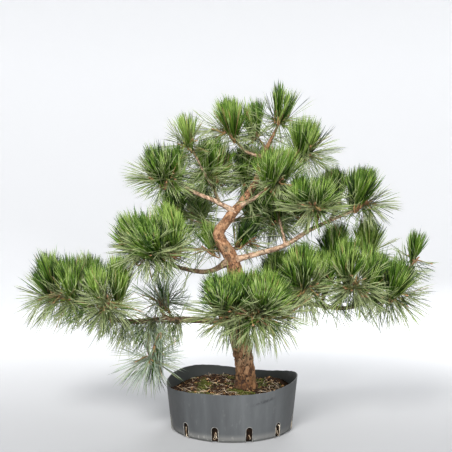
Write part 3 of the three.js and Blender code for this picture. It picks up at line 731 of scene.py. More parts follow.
def make_trunk():
    corners = TRUNK["corners"]
    dense = limb_line("trunk")
    line = evenly(dense, int(length_of(dense) / TRUNK["step"]))
    line = line[line[:, 2] > SOIL["top"] - TRUNK["buried"]]
    count, depth, turned = TRUNK["lobes"]
    lobes = 1 + depth * np.cos(count * round_angles(corners) + turned)
    above = np.maximum(line[:, 2] - SOIL["top"], -4)
    flare = TRUNK["flare"] * lobes[None] * np.exp(-above / TRUNK["flare_height"])[:, None]
    grid = np.meshgrid(np.arange(corners) / corners * 4, np.arange(len(line)) / 26)
    swell = TRUNK["swell"] * table_noise(*grid, 4, 5)
    radius = girth_at(line[:, 2])[:, None] * (1 + flare + swell)
    bark = limb_with_bark(line, radius, TRUNK["plates"], TRUNK["relief"], 11, KNOTS["trunk"])
    points, faces, carried = bark
    settle(
        mesh_object("trunk_bark", points, faces, [FINISHES["trunk_bark"]], carried=carried),
        "trunk_bark", "trunk",
    )


def bough_radius(name, share):
    thick, thin = BOUGHS[name][2]
    return thick + (thin - thick) * share ** BOUGH["taper"]


def holder_radius(name):
    """The radius of the limb that carries a bough, where it springs."""
    holder, route, _ = BOUGHS[name]
    if holder == "trunk":
        return float(girth_at(route[0][2]))
    line = limb_line(holder)
    nearest = np.argmin(np.linalg.norm(line - np.array(route[0]), axis=1))
    return bough_radius(holder, nearest / len(line))


def make_bough(name, seed):
    thick = BOUGHS[name][2][0]
    corners, columns = (BOUGH[key][thick > BOUGH["thick"]] for key in ("corners", "plates"))
    dense = limb_line(name)
    line = evenly(dense, max(int(length_of(dense) / BOUGH["step"]), 12))
    share = np.linspace(0, 1, len(line))
    clear = share * length_of(line) - holder_radius(name)
    collar = 1 + BOUGH["collar"] * np.exp(-np.maximum(clear, 0) / (BOUGH["collar_length"] * thick))
    radius = np.repeat((bough_radius(name, share) * collar)[:, None], corners, 1)
    return limb_with_bark(line, radius, columns, BOUGH["relief"], seed, KNOTS.get(name, ()))


def make_boughs():
    """One piece for each bough of the trunk, with all the boughs that it carries."""
    names = list(BOUGHS)
    for family in (name for name in names if BOUGHS[name][0] == "trunk"):
        own = [name for name in names if name == family or name.startswith(family + "_")]
        made = [make_bough(name, 40 + names.index(name)) for name in own]
        points, faces = joined([part[:2] for part in made])
        carried = {key: np.concatenate([part[2][key] for part in made]) for key in made[0][2]}
        finish = FINISHES["bough_dark" if family in DARK_BOUGHS else "bough_tan"]
        piece = mesh_object("bark_" + family, points, faces, [finish], carried=carried)
        settle(piece, "bough_bark", *("bough_" + name for name in own))


# The rule that places the shoots, with the same seeds as the solid model


def seeded(seed):
    state = seed

    def draw():
        nonlocal state
        state = (state + 0x6D2B79F5) & 0xFFFFFFFF
        mixed = ((state ^ (state >> 15)) * (1 | state)) & 0xFFFFFFFF
        mixed = ((mixed + (((mixed ^ (mixed >> 7)) * (61 | mixed)) & 0xFFFFFFFF)) & 0xFFFFFFFF) ^ mixed
        return (mixed ^ (mixed >> 14)) / 4294967296

    return draw


def start_of(mass):
    """Where the stem of a mass starts, its way there, and the radius of what carries it."""
    low = np.array(mass.middle, float) - UP * SHOOTS["drop"] * mass.half[2]
    if mass.spring:
        foot = np.array(mass.spring, float)
        return foot, unit(low - foot), low, STEM["radius"]
    limb = mass.holder or mass.name
    line = limb_line(limb)
    radius = TRUNK["girth"][-1][1] if limb == "trunk" else BOUGHS[limb][2][1]
    way = unit(line[-1] - line[-2])
    return line[-1] + way * GAP, way, low, radius


def own_rise(amount):
    """How high each shoot of the rule points, from 1 straight up."""
    return 1 + (SHOOTS["lowest"] - 1) * (np.arange(amount) + 0.5) / amount


def shoots_of(mass, seed):
    """The stem of a mass, the hub it ends in, and the place and direction of each of its shoots."""
    foot, way, low, radius = start_of(mass)
    hub = foot + (low - foot) * STEM["share"]
    knee = foot + way * STEM["straight"] * np.linalg.norm(hub - foot)
    random = seeded(seed)
    inner = np.maximum(np.array(mass.half, float) - SHOOTS["room"], SHOOTS["smallest"])
    ends = []
    for i, rise in enumerate(own_rise(mass.shoots)):
        turn = i * GOLDEN_ANGLE + SHOOTS["uneven_turn"] * random()
        level = math.sqrt(1 - rise * rise)
        out = np.array([level * math.cos(turn), level * math.sin(turn), rise])
        ends.append(low + out * inner * (1 + SHOOTS["uneven"] * (2 * random() - 1)))
        random()
    stem = bent([foot - way * 2], [knee], [hub], 10)
    return {"mass": mass, "stem": stem, "way": way, "radius": radius, "hub": hub, "ends": np.array(ends)}


def across_from(ways, turn):
    """Directions at right angles to the given ones, turned round them."""
    start = np.where(np.abs(ways[:, 2:]) > 0.9, [[1.0, 0, 0]], [[0, 0, 1.0]])
    side = unit(np.cross(start, ways))
    third = np.cross(ways, side)
    return side * np.cos(turn)[:, None] + third * np.sin(turn)[:, None]


def room_inside(spots, ways, middle, half):
    """The distance from each spot to the skin of a space, and nothing from outside it."""
    start = (spots - middle) / half
    step = ways / half
    a, b, c = (step * step).sum(-1), (start * step).sum(-1), (start * start).sum(-1) - 1
    return np.where(c < 0, (np.sqrt(np.maximum(b * b - a * c, 0)) - b) / a, 0)


def room_in_box(spots, ways):
    """The distance from each spot to where the model may end, a little outside the solids' box."""
    low, high = (np.array(corner) / MM for corner in solid_box)
    ends = np.stack([low - NEEDLE["proud"] - spots, high + NEEDLE["proud"] - spots]) / ways
    return ends.max(0).min(1)


def limb_stretches():
    """The straight stretches of trunk and boughs that needles keep clear of."""
    stretches = []
    for name in ("trunk", *BOUGHS):
        line = evenly(limb_line(name), 24 if name == "trunk" else 9)
        share = np.linspace(0, 1, len(line))
        radius = girth_at(line[:, 2]) if name == "trunk" else bough_radius(name, share)
        stretches.append(np.column_stack([line[:-1], line[1:], radius[:-1], radius[1:]]))
    return np.concatenate(stretches)


LIMB_STRETCHES = limb_stretches()


def clear_of_limbs(spots, clearance):
    """Whether each spot is that far from every limb's skin."""
    nearest = np.full(len(spots), 1e9)
    for row in LIMB_STRETCHES:
        start, along = row[:3], row[3:6] - row[:3]
        share = np.clip((spots - start) @ along / (along @ along), 0, 1)
        gap = np.linalg.norm(spots - start - share[:, None] * along, axis=1)
        nearest = np.minimum(nearest, gap - (row[6] + (row[7] - row[6]) * share))
    return nearest > clearance


# Needles


def strewn_along(lines, amounts, random):
    """Evenly strewn places on lines (n, points, 3): place, way there, the line's number and share."""
    which = np.repeat(np.arange(len(lines)), amounts)
    share = np.concatenate([(np.arange(n) + random.random(n)) / n for n in amounts])
    at = share * (lines.shape[1] - 1)
    low = np.minimum(at.astype(int), lines.shape[1] - 2)
    start, end = lines[which, low], lines[which, low + 1]
    return start + (end - start) * (at - low)[:, None], unit(end - start), which, share


def tuft(lines, amounts, young, opened, hangs, random):
    """Needles of a candle: they lean out at its foot, and close up to a brush towards its tip."""
    spot, axis, which, share = strewn_along(lines, amounts, random)
    count = len(which)
    lock = np.arange(count) // NEEDLE["lock"]  # needles of a lock keep together

    def uneven(whole, own):
        return random.normal(0, whole, count)[lock] + random.normal(0, own, count)

    out = across_from(axis, lock * GOLDEN_ANGLE + uneven(0.35, 0.12))
    wide = 60 * np.maximum(opened - 0.8, 0)[which]
    lean = np.radians(4 + 33 * opened[which] * (1 - share) ** 0.9 + wide + uneven(7.5, 1.6))
    length = NEEDLE["length"] * (1 + random.normal(0, 0.05, len(lines))[which] + uneven(0.07, 0))
    return {
        "foot": spot + out * 1.6,
        "way": unit(out * np.sin(lean)[:, None] + axis * np.cos(lean)[:, None]),
        "length": length * (1.02 - 0.08 * share) * np.where(hangs[which], 1.14, 1),
        # needles near a candle's foot get darker tints: painted shade deep in the brush
        "young": young[which] - 0.2 * (share < 0.3) + uneven(0.42, 0),
        "old": np.where(hangs[which], 0.75, (share < 0.12) * 0.25),
        "over": np.where(hangs[which], NEEDLE["old_over"], NEEDLE["over"]).astype(float),
    }


def old_growth(lines, amounts, young, random, old=0.8):
    """Needles of earlier years: they stand out all round a twig, lean to its tip and hang a little."""
    spot, axis, which, _ = strewn_along(lines, amounts, random)
    out = across_from(axis, random.uniform(0, 2 * math.pi, len(which)))
    lean = np.radians(random.uniform(45, 105, len(which)))
    way = out * np.sin(lean)[:, None] + axis * np.cos(lean)[:, None] - UP * NEEDLE["sunk"]
    return {
        "foot": spot + out * 2,
        "way": unit(way),
        "length": NEEDLE["length"] * random.uniform(0.85, 1.12, len(which)),
        "young": young + random.normal(0, 0.3, len(which)),
        "old": np.full(len(which), old),
        "over": np.full(len(which), float(NEEDLE["old_over"])),
    }


def paired(rows, random):
    """Two needles of each pair spread a little from the same foot."""
    count = len(rows["foot"])
    spread = across_from(rows["way"], random.uniform(0, 2 * math.pi, count)) * NEEDLE["spread"]
    both = {key: np.concatenate([values, values]) for key, values in rows.items()}
    both["way"] = unit(np.concatenate([rows["way"] + spread, rows["way"] - spread]))
    both["length"] = both["length"] * random.normal(1, NEEDLE["uneven"], 2 * count)
    return both


def tints_of(rows, mass, random):
    """The number of each needle's colour: that of its spray, with some needles of the next ones."""
    count = len(rows["young"])
    young = rows["young"] + random.normal(0, 0.2, count)
    tint = np.clip(np.round(young * (YOUNG_TINTS - 1)), 0, YOUNG_TINTS - 1).astype(int)
    tint[random.random(count) < rows["old"]] = TINT_NAMES.index("needle_olive")
    if mass.vigour < 0.22:
        tint[random.random(count) < 0.6] = TINT_NAMES.index("needle_blue_green")
    tint[random.random(count) < 0.015] = TINT_NAMES.index("needle_straw")
    return tint


def needle_mesh(rows, random):
    """Three-sided needles with a bend and a point, ten faces each."""
    count = len(rows["foot"])
    foot, way, length = rows["foot"], rows["way"], rows["length"][:, None]
    droop = -0.11 * rows["old"][:, None] + random.normal(0.02, 0.025, (count, 1))
    bow = across_from(way, random.uniform(0, 2 * math.pi, count)) * NEEDLE["bow"]
    bow = (UP * droop + bow) * length
    middle = foot + way * length * NEEDLE["bend_at"] + bow * 0.55
    side = across_from(way, random.uniform(0, 2 * math.pi, count))
    radius = NEEDLE["radius"] * random.uniform(0.85, 1.2, (count, 1, 1))
    radius = radius * (1 - 0.25 * rows["old"][:, None, None])
    out = spokes(side, np.cross(way, side), 3)
    rings = [foot[:, None] + out * radius * 0.8, middle[:, None] + out * radius]
    points = np.concatenate([*rings, (foot + way * length + bow)[:, None]], 1)
    quads = np.array([[0, 1, 4, 3], [1, 2, 5, 4], [2, 0, 3, 5]])
    triangles = np.array([[3, 4, 6], [4, 5, 6], [5, 3, 6], [0, 2, 1]])
    starts = (np.arange(count) * 7)[:, None, None]
    faces = [(quads + starts).reshape(-1, 4), (triangles + starts).reshape(-1, 3)]
    return points.reshape(-1, 3), faces


def keep(rows, chosen):
    return {key: values[chosen] for key, values in rows.items()}


def upright_tufts(mass, grown, random):
    """The feet, directions and lengths of the candles that stand up from a mass's shoots and between them.

    They fan out from a source under the hub: the deeper it lies, the narrower the brush they make.
    """
    middle, half = np.array(mass.middle, float), np.array(mass.half, float)
    up = math.copysign(1, mass.lift)
    squat = np.array([1, 1, abs(mass.lift)])
    hub, ends = grown["hub"], grown["ends"]
    own = ends[own_rise(len(ends)) > TUFT["own_above"]]
    own_ways = unit(own - hub + UP * up * 40)
    own_tops = own + own_ways * room_inside(own, own_ways, middle, half)[:, None]
    own_tops = middle + (own_tops - middle) * squat
    level, steep = TUFT["flat_top"]
    round_top = level + steep * mass.fan**2
    room = math.pi * half[0] * half[1] / TUFT["apart"] ** 2
    between = over_disc(room * mass.fullness, mass.crown, up, round_top, random)
    between = middle + half * squat * between
    free = np.linalg.norm(between[:, None] - own_tops[None], axis=2).min(1) > TUFT["nearest"]
    tops = np.concatenate([own_tops, between[free]])

    # brushes of a few tufts each, with a source of their own and a height of their own
    amount = max(len(ends) * TUFT["brushes"], 2) / mass.crown**2
    brushes = middle + half * over_disc(amount, mass.crown * 0.8, up, round_top, random)
    brush = np.linalg.norm(tops[:, None] - brushes[None], axis=2).argmin(1)
    lowered = random.uniform(*TUFT["lowered"], len(brushes))
    drawn = (brushes[brush] - tops) * [TUFT["gathered"], TUFT["gathered"], 0]
    tops = tops + drawn - UP * lowered[brush][:, None] * up
    apart = (brushes - hub) * [TUFT["apart_below"], TUFT["apart_below"], 0]
    sources = hub + apart - grown["way"] * TUFT["lean"]
    sources = sources - UP * up * (TUFT["depth"] * max(1 - mass.fan, 0) + lowered[:, None] * 0.6)
    ways = unit(tops - sources[brush] + random.normal(0, 7, tops.shape))
    lower = random.uniform(0, 1, len(tops)) * TUFT["uneven"]
    above = NEEDLE["length"] * TUFT["above"]
    reach = np.linalg.norm(tops - hub, axis=1) - above - lower
    core = np.clip(reach, TUFT["candle"][0], random.uniform(0.75, 1, len(tops)) * TUFT["candle"][1])
    tint = random.normal(0, 0.12, len(brushes))[brush]
    return tops - ways * (above + lower + core)[:, None], ways, core, tint


def over_disc(count, crown, up, round_top, random):
    """Evenly strewn places on the top of a ball of radius 1, or under it, out to a share of its width."""
    count = max(int(count * crown**2 + 0.5), 1)
    share = np.sqrt((np.arange(count) + 0.5) / count) * crown
    turn = np.arange(count) * GOLDEN_ANGLE + random.uniform(0, 6)
    level = np.stack([share * np.cos(turn), share * np.sin(turn)], -1) + random.normal(0, 0.05, (count, 2))
    return np.column_stack([level, np.maximum(1 - (level**2).sum(-1), 0.04) ** round_top * up])


def hanging_sprays(mass, grown, random):
    """The same for sprays of older needles that lean out and hang from the twigs under the brushes."""
    hub, ends, up = grown["hub"], grown["ends"], math.copysign(1, mass.lift)
    low_ends = ends[own_rise(len(ends)) <= TUFT["own_above"]]
    count = max(int(len(ends) * TUFT["hanging"] * mass.skirt + 0.5), 1)
    turn = np.arange(count) * GOLDEN_ANGLE + random.uniform(0, 6)
    level = np.stack([np.cos(turn), np.sin(turn), np.zeros(count)], -1) + grown["way"] * [0.6, 0.6, 0]
    twigs = (ends[np.arange(count) % len(ends)] - hub) * [1, 1, 0.3]
    feet = hub + twigs * random.uniform(0.15, 1, count)[:, None] + UP * random.uniform(-10, 8, count)[:, None]
    ways = unit(unit(level) * 0.7 + unit(twigs) * 0.8)
    ways = ways + UP * random.uniform(*TUFT["hanging_rise"], count)[:, None] * up
    low_ways = unit(low_ends - hub) + UP * 0.1 * up
    feet = np.concatenate([low_ends - low_ways * 10, feet])
    ways = unit(np.concatenate([low_ways, ways]))
    return feet, ways, random.uniform(16, 34, len(feet)), random.normal(-0.2, 0.15, len(feet))


def fitted(rows, mass, random):
    """Needles cut to the room round them, without those that would be too short or hit a limb."""
    foot, way, wanted, over = rows["foot"], rows["way"], rows["length"], rows["over"][:, None]
    room = room_inside(foot, way, mass.middle, mass.half + over)
    elsewhere = room <= 0
    for other in MASSES:
        space = room_inside(foot[elsewhere], way[elsewhere], other.middle, other.half + over[elsewhere])
        room[elsewhere] = np.maximum(room[elsewhere], space)
    room = np.where(room > 0, room, NEEDLE["stray_share"] * wanted)
    room = np.minimum(room * random.uniform(0.88, 1.1, len(room)), room_in_box(foot, way))
    rows["length"] = np.minimum(wanted, room)
    rows = keep(rows, rows["length"] > NEEDLE["shortest"] * wanted)
    free = np.ones(len(rows["foot"]), bool)
    for share in (0.2, 0.5, 0.8, 1.0):
        spots = rows["foot"] + rows["way"] * (rows["length"] * share)[:, None]
        free &= clear_of_limbs(spots, NEEDLE["clear"])
    return keep(rows, free)


def grow(mass, seed):
    """All that one mass has: its needles, and the lines of its twigs and candles."""
    grown = shoots_of(mass, seed)
    random = np.random.default_rng(1000 + seed)
    hub, ends = grown["hub"], grown["ends"]
    standing, hanging = upright_tufts(mass, grown, random), hanging_sprays(mass, grown, random)
    feet, axes, core, tint = (np.concatenate(pair) for pair in zip(standing, hanging))
    hangs = np.arange(len(feet)) >= len(standing[0])
    count = len(feet)
    if mass.lift > 0:
        lowest = mass.middle[2] - TUFT["lowest"] * mass.half[2]
        lowest = max(lowest, grown["stem"][0, 0, 2] - TUFT["sag"])
        feet[:, 2] = np.maximum(feet[:, 2], lowest + random.uniform(0, 14, count))
    tips = feet + axes * core[:, None]

    # the main twigs keep to the rule's shoots, and each tuft's own twig forks from one of them
    main = bent(np.repeat([hub], len(ends), 0), (hub + ends) / 2 + UP * 3, ends, 9)
    parents = np.linalg.norm(feet[:, None] - ends[None], axis=2).argmin(1)
    at = np.where(hangs, random.uniform(0, 0.6, count), random.uniform(0.1, 0.8, count)) * 8
    forks = main[parents, at.astype(int)]
    reach = np.linalg.norm(feet - forks, axis=1)[:, None]
    twigs = bent(forks, feet - axes * 0.45 * reach, feet, 7)
    candles = feet[:, None] + (tips - feet)[:, None] * np.linspace(0, 1, 5)[None, :, None]

    def many(n, size):
        return np.maximum((n * random.uniform(0.8, 1.15, size)).astype(int), 3)

    fullness, vigour = mass.fullness, mass.vigour
    # tints lighter towards the top of the mass: partly young growth, partly painted light from above
    height = np.clip((tips[:, 2] - mass.middle[2]) / mass.half[2] + 0.75, 0, 1)
    young = vigour * (0.6 + 0.4 * height) + tint + random.normal(0, 0.08, count)
    amounts = many(NEEDLE["pairs"] * fullness**1.5, count)
    amounts = np.where(hangs, many(NEEDLE["hanging_pairs"] * (0.4 + 0.6 * fullness), count), amounts)
    opened = random.uniform(0.7, 1.15, count) * np.where(hangs, 1.1, 0.25 + 0.45 * mass.fan)
    old = NEEDLE["old_pairs"] * fullness
    parts = [
        tuft(candles, amounts, young, opened, hangs, random),
        old_growth(main, many(old * mass.skirt, len(ends)), vigour * 0.35, random),
        old_growth(twigs, many(old * 0.5, count), vigour * 0.5, random, 0.5),
    ]
    limb = mass.holder or mass.name
    line, bare, thick = grown["stem"][0], 0, NEEDLED_ELSE[1]
    if not mass.spring:
        line, (bare, thick) = limb_line(limb), NEEDLED.get(limb, NEEDLED_ELSE)
    outer = evenly(line[int(len(line) * bare):], 12)[None]
    amount = many(thick * length_of(outer[0]) * (0.4 + 0.6 * fullness), 1)
    parts.append(old_growth(outer, amount, vigour * 0.5, random, 0.6))
    rows = paired({name: np.concatenate([part[name] for part in parts]) for name in parts[0]}, random)
    return grown | {
        "rows": fitted(rows, mass, random), "random": random, "main_twigs": main,
        "tuft_lines": np.concatenate([twigs, candles[:, 1:]], 1), "tips": tips, "axes": axes,
    }


def make_needles(grown):
    """One piece for each mass, with its colours dealt out by spray."""
    rows, name = grown["rows"], grown["mass"].name
    points, faces = needle_mesh(rows, grown["random"])
    tint = tints_of(rows, grown["mass"], grown["random"])
    worn = np.concatenate([np.repeat(tint, 3), np.repeat(tint, 4)])
    piece = mesh_object("pine_" + name, points, faces, NEEDLE_FINISHES, worn=worn)
    settle(piece, "needles", "needles_" + name)


def twig_parts(lines, radii, corners, along):
    points, faces = tubes(lines, np.broadcast_to(radii, lines.shape[:2]), corners)
    ring = np.repeat(np.broadcast_to(along, lines.shape[:2]), corners, 1)
    ends = np.broadcast_to(np.array([along[0], along[-1]]), (len(lines), 2))
    return (points, faces), np.concatenate([ring, ends], 1).ravel()


def make_twigs(all_grown):
    """Stems, twigs and candles of every mass, joined: they are hidden in the needles for the most part."""
    parts = []
    for grown in all_grown:
        stem = grown["stem"]
        radii = np.linspace(grown["radius"], STEM["thin"] + 0.5, stem.shape[1])
        parts.append(twig_parts(stem, radii, 8, np.linspace(0, 0.35, stem.shape[1])))
        knob = grown["hub"] + UP * np.linspace(-5, 5, 5)[:, None]
        parts.append(twig_parts(knob[None], [1.5, 4.2, 5, 4.2, 1.5], 8, np.full(5, 0.3)))
    swell = [2.0, 1.9, 1.8, 1.8, 1.8, 1.9, 2.0, 2.2, 2.1, 1.8, 1.3]
    for key, radii, corners, youth in (
        ("main_twigs", np.linspace(2.9, 1.9, 9), 7, (0.2, 0.6)), ("tuft_lines", swell, 6, (0.35, 1)),
    ):
        lines = np.concatenate([grown[key] for grown in all_grown])
        parts.append(twig_parts(lines, radii, corners, np.linspace(*youth, lines.shape[1])))
    points, faces = joined([part[0] for part in parts])
    carried = {"along": np.concatenate([part[1] for part in parts])}
    settle(mesh_object("twigs", points, faces, [FINISHES["young_shoot"]], carried=carried), "bough_bark")


def make_buds(all_grown):
    """A pointed winter bud at the top of each candle, with two smaller ones beside it."""
    spots, ways = (np.concatenate([grown[key] for grown in all_grown]) for key in ("tips", "axes"))
    random = np.random.default_rng(77)
    parts = []
    for turn, lean, size in ((0, 0.0, 1.0), (0.3, 0.5, 0.6), (3.3, 0.5, 0.65)):
        out = across_from(ways, np.full(len(ways), turn))
        length = 8 * size * random.uniform(0.7, 1.2, len(ways))
        along = (np.linspace(-0.25, 1, 5)[None] * length[:, None])[..., None]
        line = (spots + out * lean * 2.4)[:, None] + unit(ways + out * lean)[:, None] * along
        swell = np.array([1.2, 1.8, 1.7, 1.1, 0.25]) * size
        parts.append(tubes(line, np.broadcast_to(swell, line.shape[:2]), 4))
    settle(mesh_object("buds", *joined(parts), [FINISHES["bud"]]), "bough_bark")


# The container


def rim_height_at(azimuth):
    height = np.full_like(azimuth, POT["rim_height"], dtype=float)
    for count, rise, crest in RIM_WAVES:
        height += rise * np.cos(count * azimuth - math.radians(crest))
    return height


def wall_radius_at(height):
    share = height / POT["rim_height"]
    return POT["base_radius"] + (POT["rim_radius"] - POT["base_radius"]) * share


def ring_noise(columns, count, seed):
    """Noise that closes on itself round the pot, with so many waves."""
    across = np.arange(columns) / columns * count
    return table_noise(across, np.zeros(columns), count, seed)


def slot_ways(slot):
    """The directions outwards and sideways at one of the pot's slots."""
    turn = math.radians(SLOTS["first"] + 360 / SLOTS["count"] * slot)
    return np.array([math.sin(turn), -math.cos(turn), 0]), np.array([math.cos(turn), math.sin(turn), 0])


def evaluated_mesh(piece):
    """The plain mesh that an object's modifiers make."""
    return bpy.data.meshes.new_from_object(piece.evaluated_get(bpy.context.evaluated_depsgraph_get()))


def apply_difference(piece, cutter):
    cut = piece.modifiers.new("slots", "BOOLEAN")
    cut.operation = "DIFFERENCE"
    cut.solver = "MANIFOLD"
    cut.object = cutter
    mesh = evaluated_mesh(piece)
    piece.modifiers.clear()
    piece.data = mesh
    bpy.data.objects.remove(cutter)


def arch(width, height, steps=20):
    """The outline of an arched slot, from its right foot over the top to its left foot."""
    half = width / 2
    turn = np.linspace(0, math.pi, steps)
    over = np.column_stack([half * np.cos(turn), height - half + half * np.sin(turn)])
    return np.concatenate([[(half, -3)], over, [(-half, -3)]])


def slot_cutter():
    """Arched blocks that reach through the wall at each slot."""
    outline = arch(SLOTS["width"], SLOTS["height"])
    first = np.arange(len(outline))
    after, far = np.roll(first, -1), len(first)
    faces = [np.stack([first, after, after + far, first + far], -1), first[None, ::-1], first[None] + far]
    blocks = []
    for slot in range(SLOTS["count"]):
        out, side = slot_ways(slot)
        flat = outline[:, :1] * side + outline[:, 1:] * UP
        reaches = (POT["base_radius"] - SLOTS["reach"], POT["rim_radius"] + 6)
        blocks.append((np.concatenate([flat + out * reach for reach in reaches]), faces))
    return mesh_object("slot_cutter", *joined(blocks))


def make_pot():
    """A thin shell with a rim that was cut by hand, and a chamfered foot."""
    columns, wall, toe, floor = (POT[key] for key in ("columns", "wall", "toe_height", "floor"))
    azimuth = round_angles(columns)
    ragged = 0.5 * ring_noise(columns, 90, 3) + 0.25 * ring_noise(columns, 144, 4)
    rim = rim_height_at(azimuth) + ragged
    dent = 1.0 * ring_noise(columns, 7, 8) + 0.5 * ring_noise(columns, 17, 9)
    shares = np.array([0, 0.04, 0.1, 0.18, 0.28, 0.38, 0.48, 0.58, 0.68, 0.78, 0.87, 0.94, 0.985, 1.0])
    foot = POT["base_radius"] - POT["toe_inset"]

    # rings of the outside and then of the inside: their radius, their height and which side they are on
    rows = [(foot - 6.5, 0, 0), (foot - 1, 0, 0), (foot + 0.4, 0.7, 0)]
    rows.append((wall_radius_at(toe) - 0.6, toe - 1.2, 0))
    for share in shares:
        height = toe + (rim - 0.5 - toe) * share
        rows.append((wall_radius_at(height) + dent * share**0.7, height, 0))
    edge = wall_radius_at(rim) + dent
    rows += [(edge - POT["round"], rim, 0), (edge - wall + POT["round"], rim, 1)]
    for share in shares[::-1]:
        height = floor + (rim - 0.5 - floor) * share
        rows.append((wall_radius_at(height) + dent * share**0.7 - wall, height, 1))
    rings = np.array([about_axis(radius, azimuth, height) for radius, height, _ in rows])
    points = np.concatenate([rings.reshape(-1, 3), [(0, 0, 0), (0, 0, floor)]])
    inside = np.concatenate([np.repeat([row[2] for row in rows], columns), [0, 1]])
    faces = loft_faces(1, len(rings), columns)
    pot = mesh_object("pot_shell", points, faces, [FINISHES["plastic"]], carried={"inside": inside})
    apply_difference(pot, slot_cutter())
    pot.data.shade_smooth()
    bpy.context.view_layer.objects.active = pot
    pot.select_set(True)
    bpy.ops.object.shade_smooth_by_angle(angle=math.radians(POT["sharp_above"]))
    pot.select_set(False)
    settle(pot, "pot_plastic", "pot")
# The kinds of a geometry tree's inputs, by the kinds of their values
KINDS = {int: "NodeSocketInt", float: "NodeSocketFloat", bpy.types.Object: "NodeSocketObject"}


def shape_tree(name, values):
    """A geometry tree with named inputs for the ground and these values, and the inputs by name."""
    group = bpy.data.node_groups.new(name, "GeometryNodeTree")
    kinds = {label: KINDS[type(value)] for label, value in values.items()}
    for label, kind in {"Ground": "NodeSocketGeometry", **kinds}.items():
        group.interface.new_socket(name=label, in_out="INPUT", socket_type=kind)
    group.interface.new_socket(name="Shape", in_out="OUTPUT", socket_type="NodeSocketGeometry")
    tree = Tree(group)
    start = group.nodes.new("NodeGroupInput")
    return tree, {socket.name: Value(tree, socket) for socket in start.outputs if socket.name}


def realized(tree, shape, finish):
    """The end of every geometry tree: real faces in one finish."""
    real = tree.add("GeometryNodeRealizeInstances", {}, {"Geometry": shape})
    worn = tree.add("GeometryNodeSetMaterial", {}, {"Geometry": real, "Material": finish})
    end = tree.tree.nodes.new("NodeGroupOutput")
    tree.feed(end.inputs["Shape"], worn)


def made_by(name, tree, values, ground=None):
    """The plain mesh that a geometry tree makes from these values."""
    maker = placed(name, ground.data if ground else bpy.data.meshes.new(name))
    modifier = maker.modifiers.new(name, "NODES")
    modifier.node_group = tree.tree
    for item in tree.tree.interface.items_tree:
        if item.in_out == "INPUT" and item.name in values:
            modifier[item.identifier] = values[item.name]
    bpy.context.view_layer.update()
    made = evaluated_mesh(maker)
    bpy.data.objects.remove(maker)
    made.name = name
    made.shade_smooth()
    return placed(name, made)


def make_slot_lips():
    """A raised bead round the edge of each slot, which follows the wall's slope."""
    values = {
        "Slots": SLOTS["count"],
        "Half Width": (SLOTS["width"] / 2 + LIP["outside"]) * MM,
        "Leg": (SLOTS["height"] - SLOTS["width"] / 2) * MM,
        "Foot Radius": (wall_radius_at(0) - LIP["sunk"]) * MM,
        "Slope": (POT["rim_radius"] - POT["base_radius"]) / POT["rim_height"],
        "Bead": LIP["bead"] * MM,
        "First": math.radians(SLOTS["first"]),
    }
    tree, given = shape_tree("slot_lips", values)
    line = tree.add("GeometryNodeCurvePrimitiveLine", {}, {"Start": (0, 0, 0), "End": (1, 0, 0)})
    line = tree.add("GeometryNodeResampleCurve", {}, {"Curve": line, "Count": LIP["points"]})
    share = tree.add("GeometryNodeSplineParameter", out="Factor")
    half, leg = given["Half Width"], given["Leg"]
    quarter = half * (math.pi / 2)
    run = (share - 0.5) * 2 * (leg + quarter)
    angle = (run / half).at_most(math.pi / 2).at_least(-math.pi / 2)
    z = leg + half * angle.cosine() - (run.absolute() - quarter).at_least(0) + LIP["raised"] * MM
    spot = tree.vector(half * angle.sine(), given["Foot Radius"] * -1 - z * given["Slope"], z)
    arched = tree.add("GeometryNodeSetPosition", {}, {"Geometry": line, "Position": spot})
    ring = tree.add("GeometryNodeCurvePrimitiveCircle", {}, {"Resolution": 8, "Radius": given["Bead"]})
    bead = {"Curve": arched, "Profile Curve": ring, "Fill Caps": True}
    bead = tree.add("GeometryNodeCurveToMesh", {}, bead)
    places = tree.add("GeometryNodePoints", {}, {"Count": given["Slots"]})
    index = tree.add("GeometryNodeInputIndex")
    turn = tree.vector(0.0, 0.0, given["First"] + index * (2 * math.pi) / given["Slots"])
    copies = {"Points": places, "Instance": bead, "Rotation": turn}
    copies = tree.add("GeometryNodeInstanceOnPoints", {}, copies)
    realized(tree, copies, FINISHES["plastic_lip"])
    settle(made_by("slot_lips", tree, values), "pot_plastic")


# Soil and what lies on it


def plane_noise(x, y, size, seed):
    """Smooth noise from -1 to 1 over the ground, with lumps of that size."""
    return table_noise(x / size + 50, y / size + 50, 997, seed)


def soil_height_at(x, y):
    """The height of the soil, which is level where the trunk stands."""
    from_seat = np.hypot(x - SOIL["seat"], y)
    fall = smooth_step(SOIL["seat_radius"], POT["rim_radius"] + SOIL["seat"], from_seat)
    long_x, long_y = SOIL["roll_length"]
    roll = SOIL["roll"] * (np.sin(x / long_x + SOIL["roll_phase"]) * np.cos(y / long_y) - 1)
    level = SOIL["top"] + (SOIL["edge"] - SOIL["top"]) * fall
    heaped = sum(rise * np.exp(-((x - a) ** 2 + (y - b) ** 2) / width**2) for a, b, rise, width in HEAPS)
    roll, heaped = (
        part * np.minimum(1, fall * SOIL[start])
        for part, start in ((roll, "roll_start"), (heaped, "heap_start"))
    )
    return level + roll + heaped


def lumps_at(x, y):
    """Crumbs and hollows of the soil's skin."""
    sizes = ((2.4, 17, 21), (1.6, 8, 22), (1.2, 4, 23), (0.6, 2, 24))
    return sum(depth * plane_noise(x, y, size, seed) for depth, size, seed in sizes)


def moss_at(x, y):
    """Where moss grows: in a cushion at the front left, round the trunk and here and there."""
    patches = plane_noise(x, y, 38, 31) + 0.5 * plane_noise(x, y, 12, 32)
    cushion = 1.5 * np.exp(-((x + 88) ** 2 + (y + 85) ** 2) / 44**2)
    foot = 0.6 * np.exp(-((x - 40) ** 2 + (y + 48) ** 2) / 34**2)
    return smooth_step(0.25, 0.8, patches + cushion + foot)


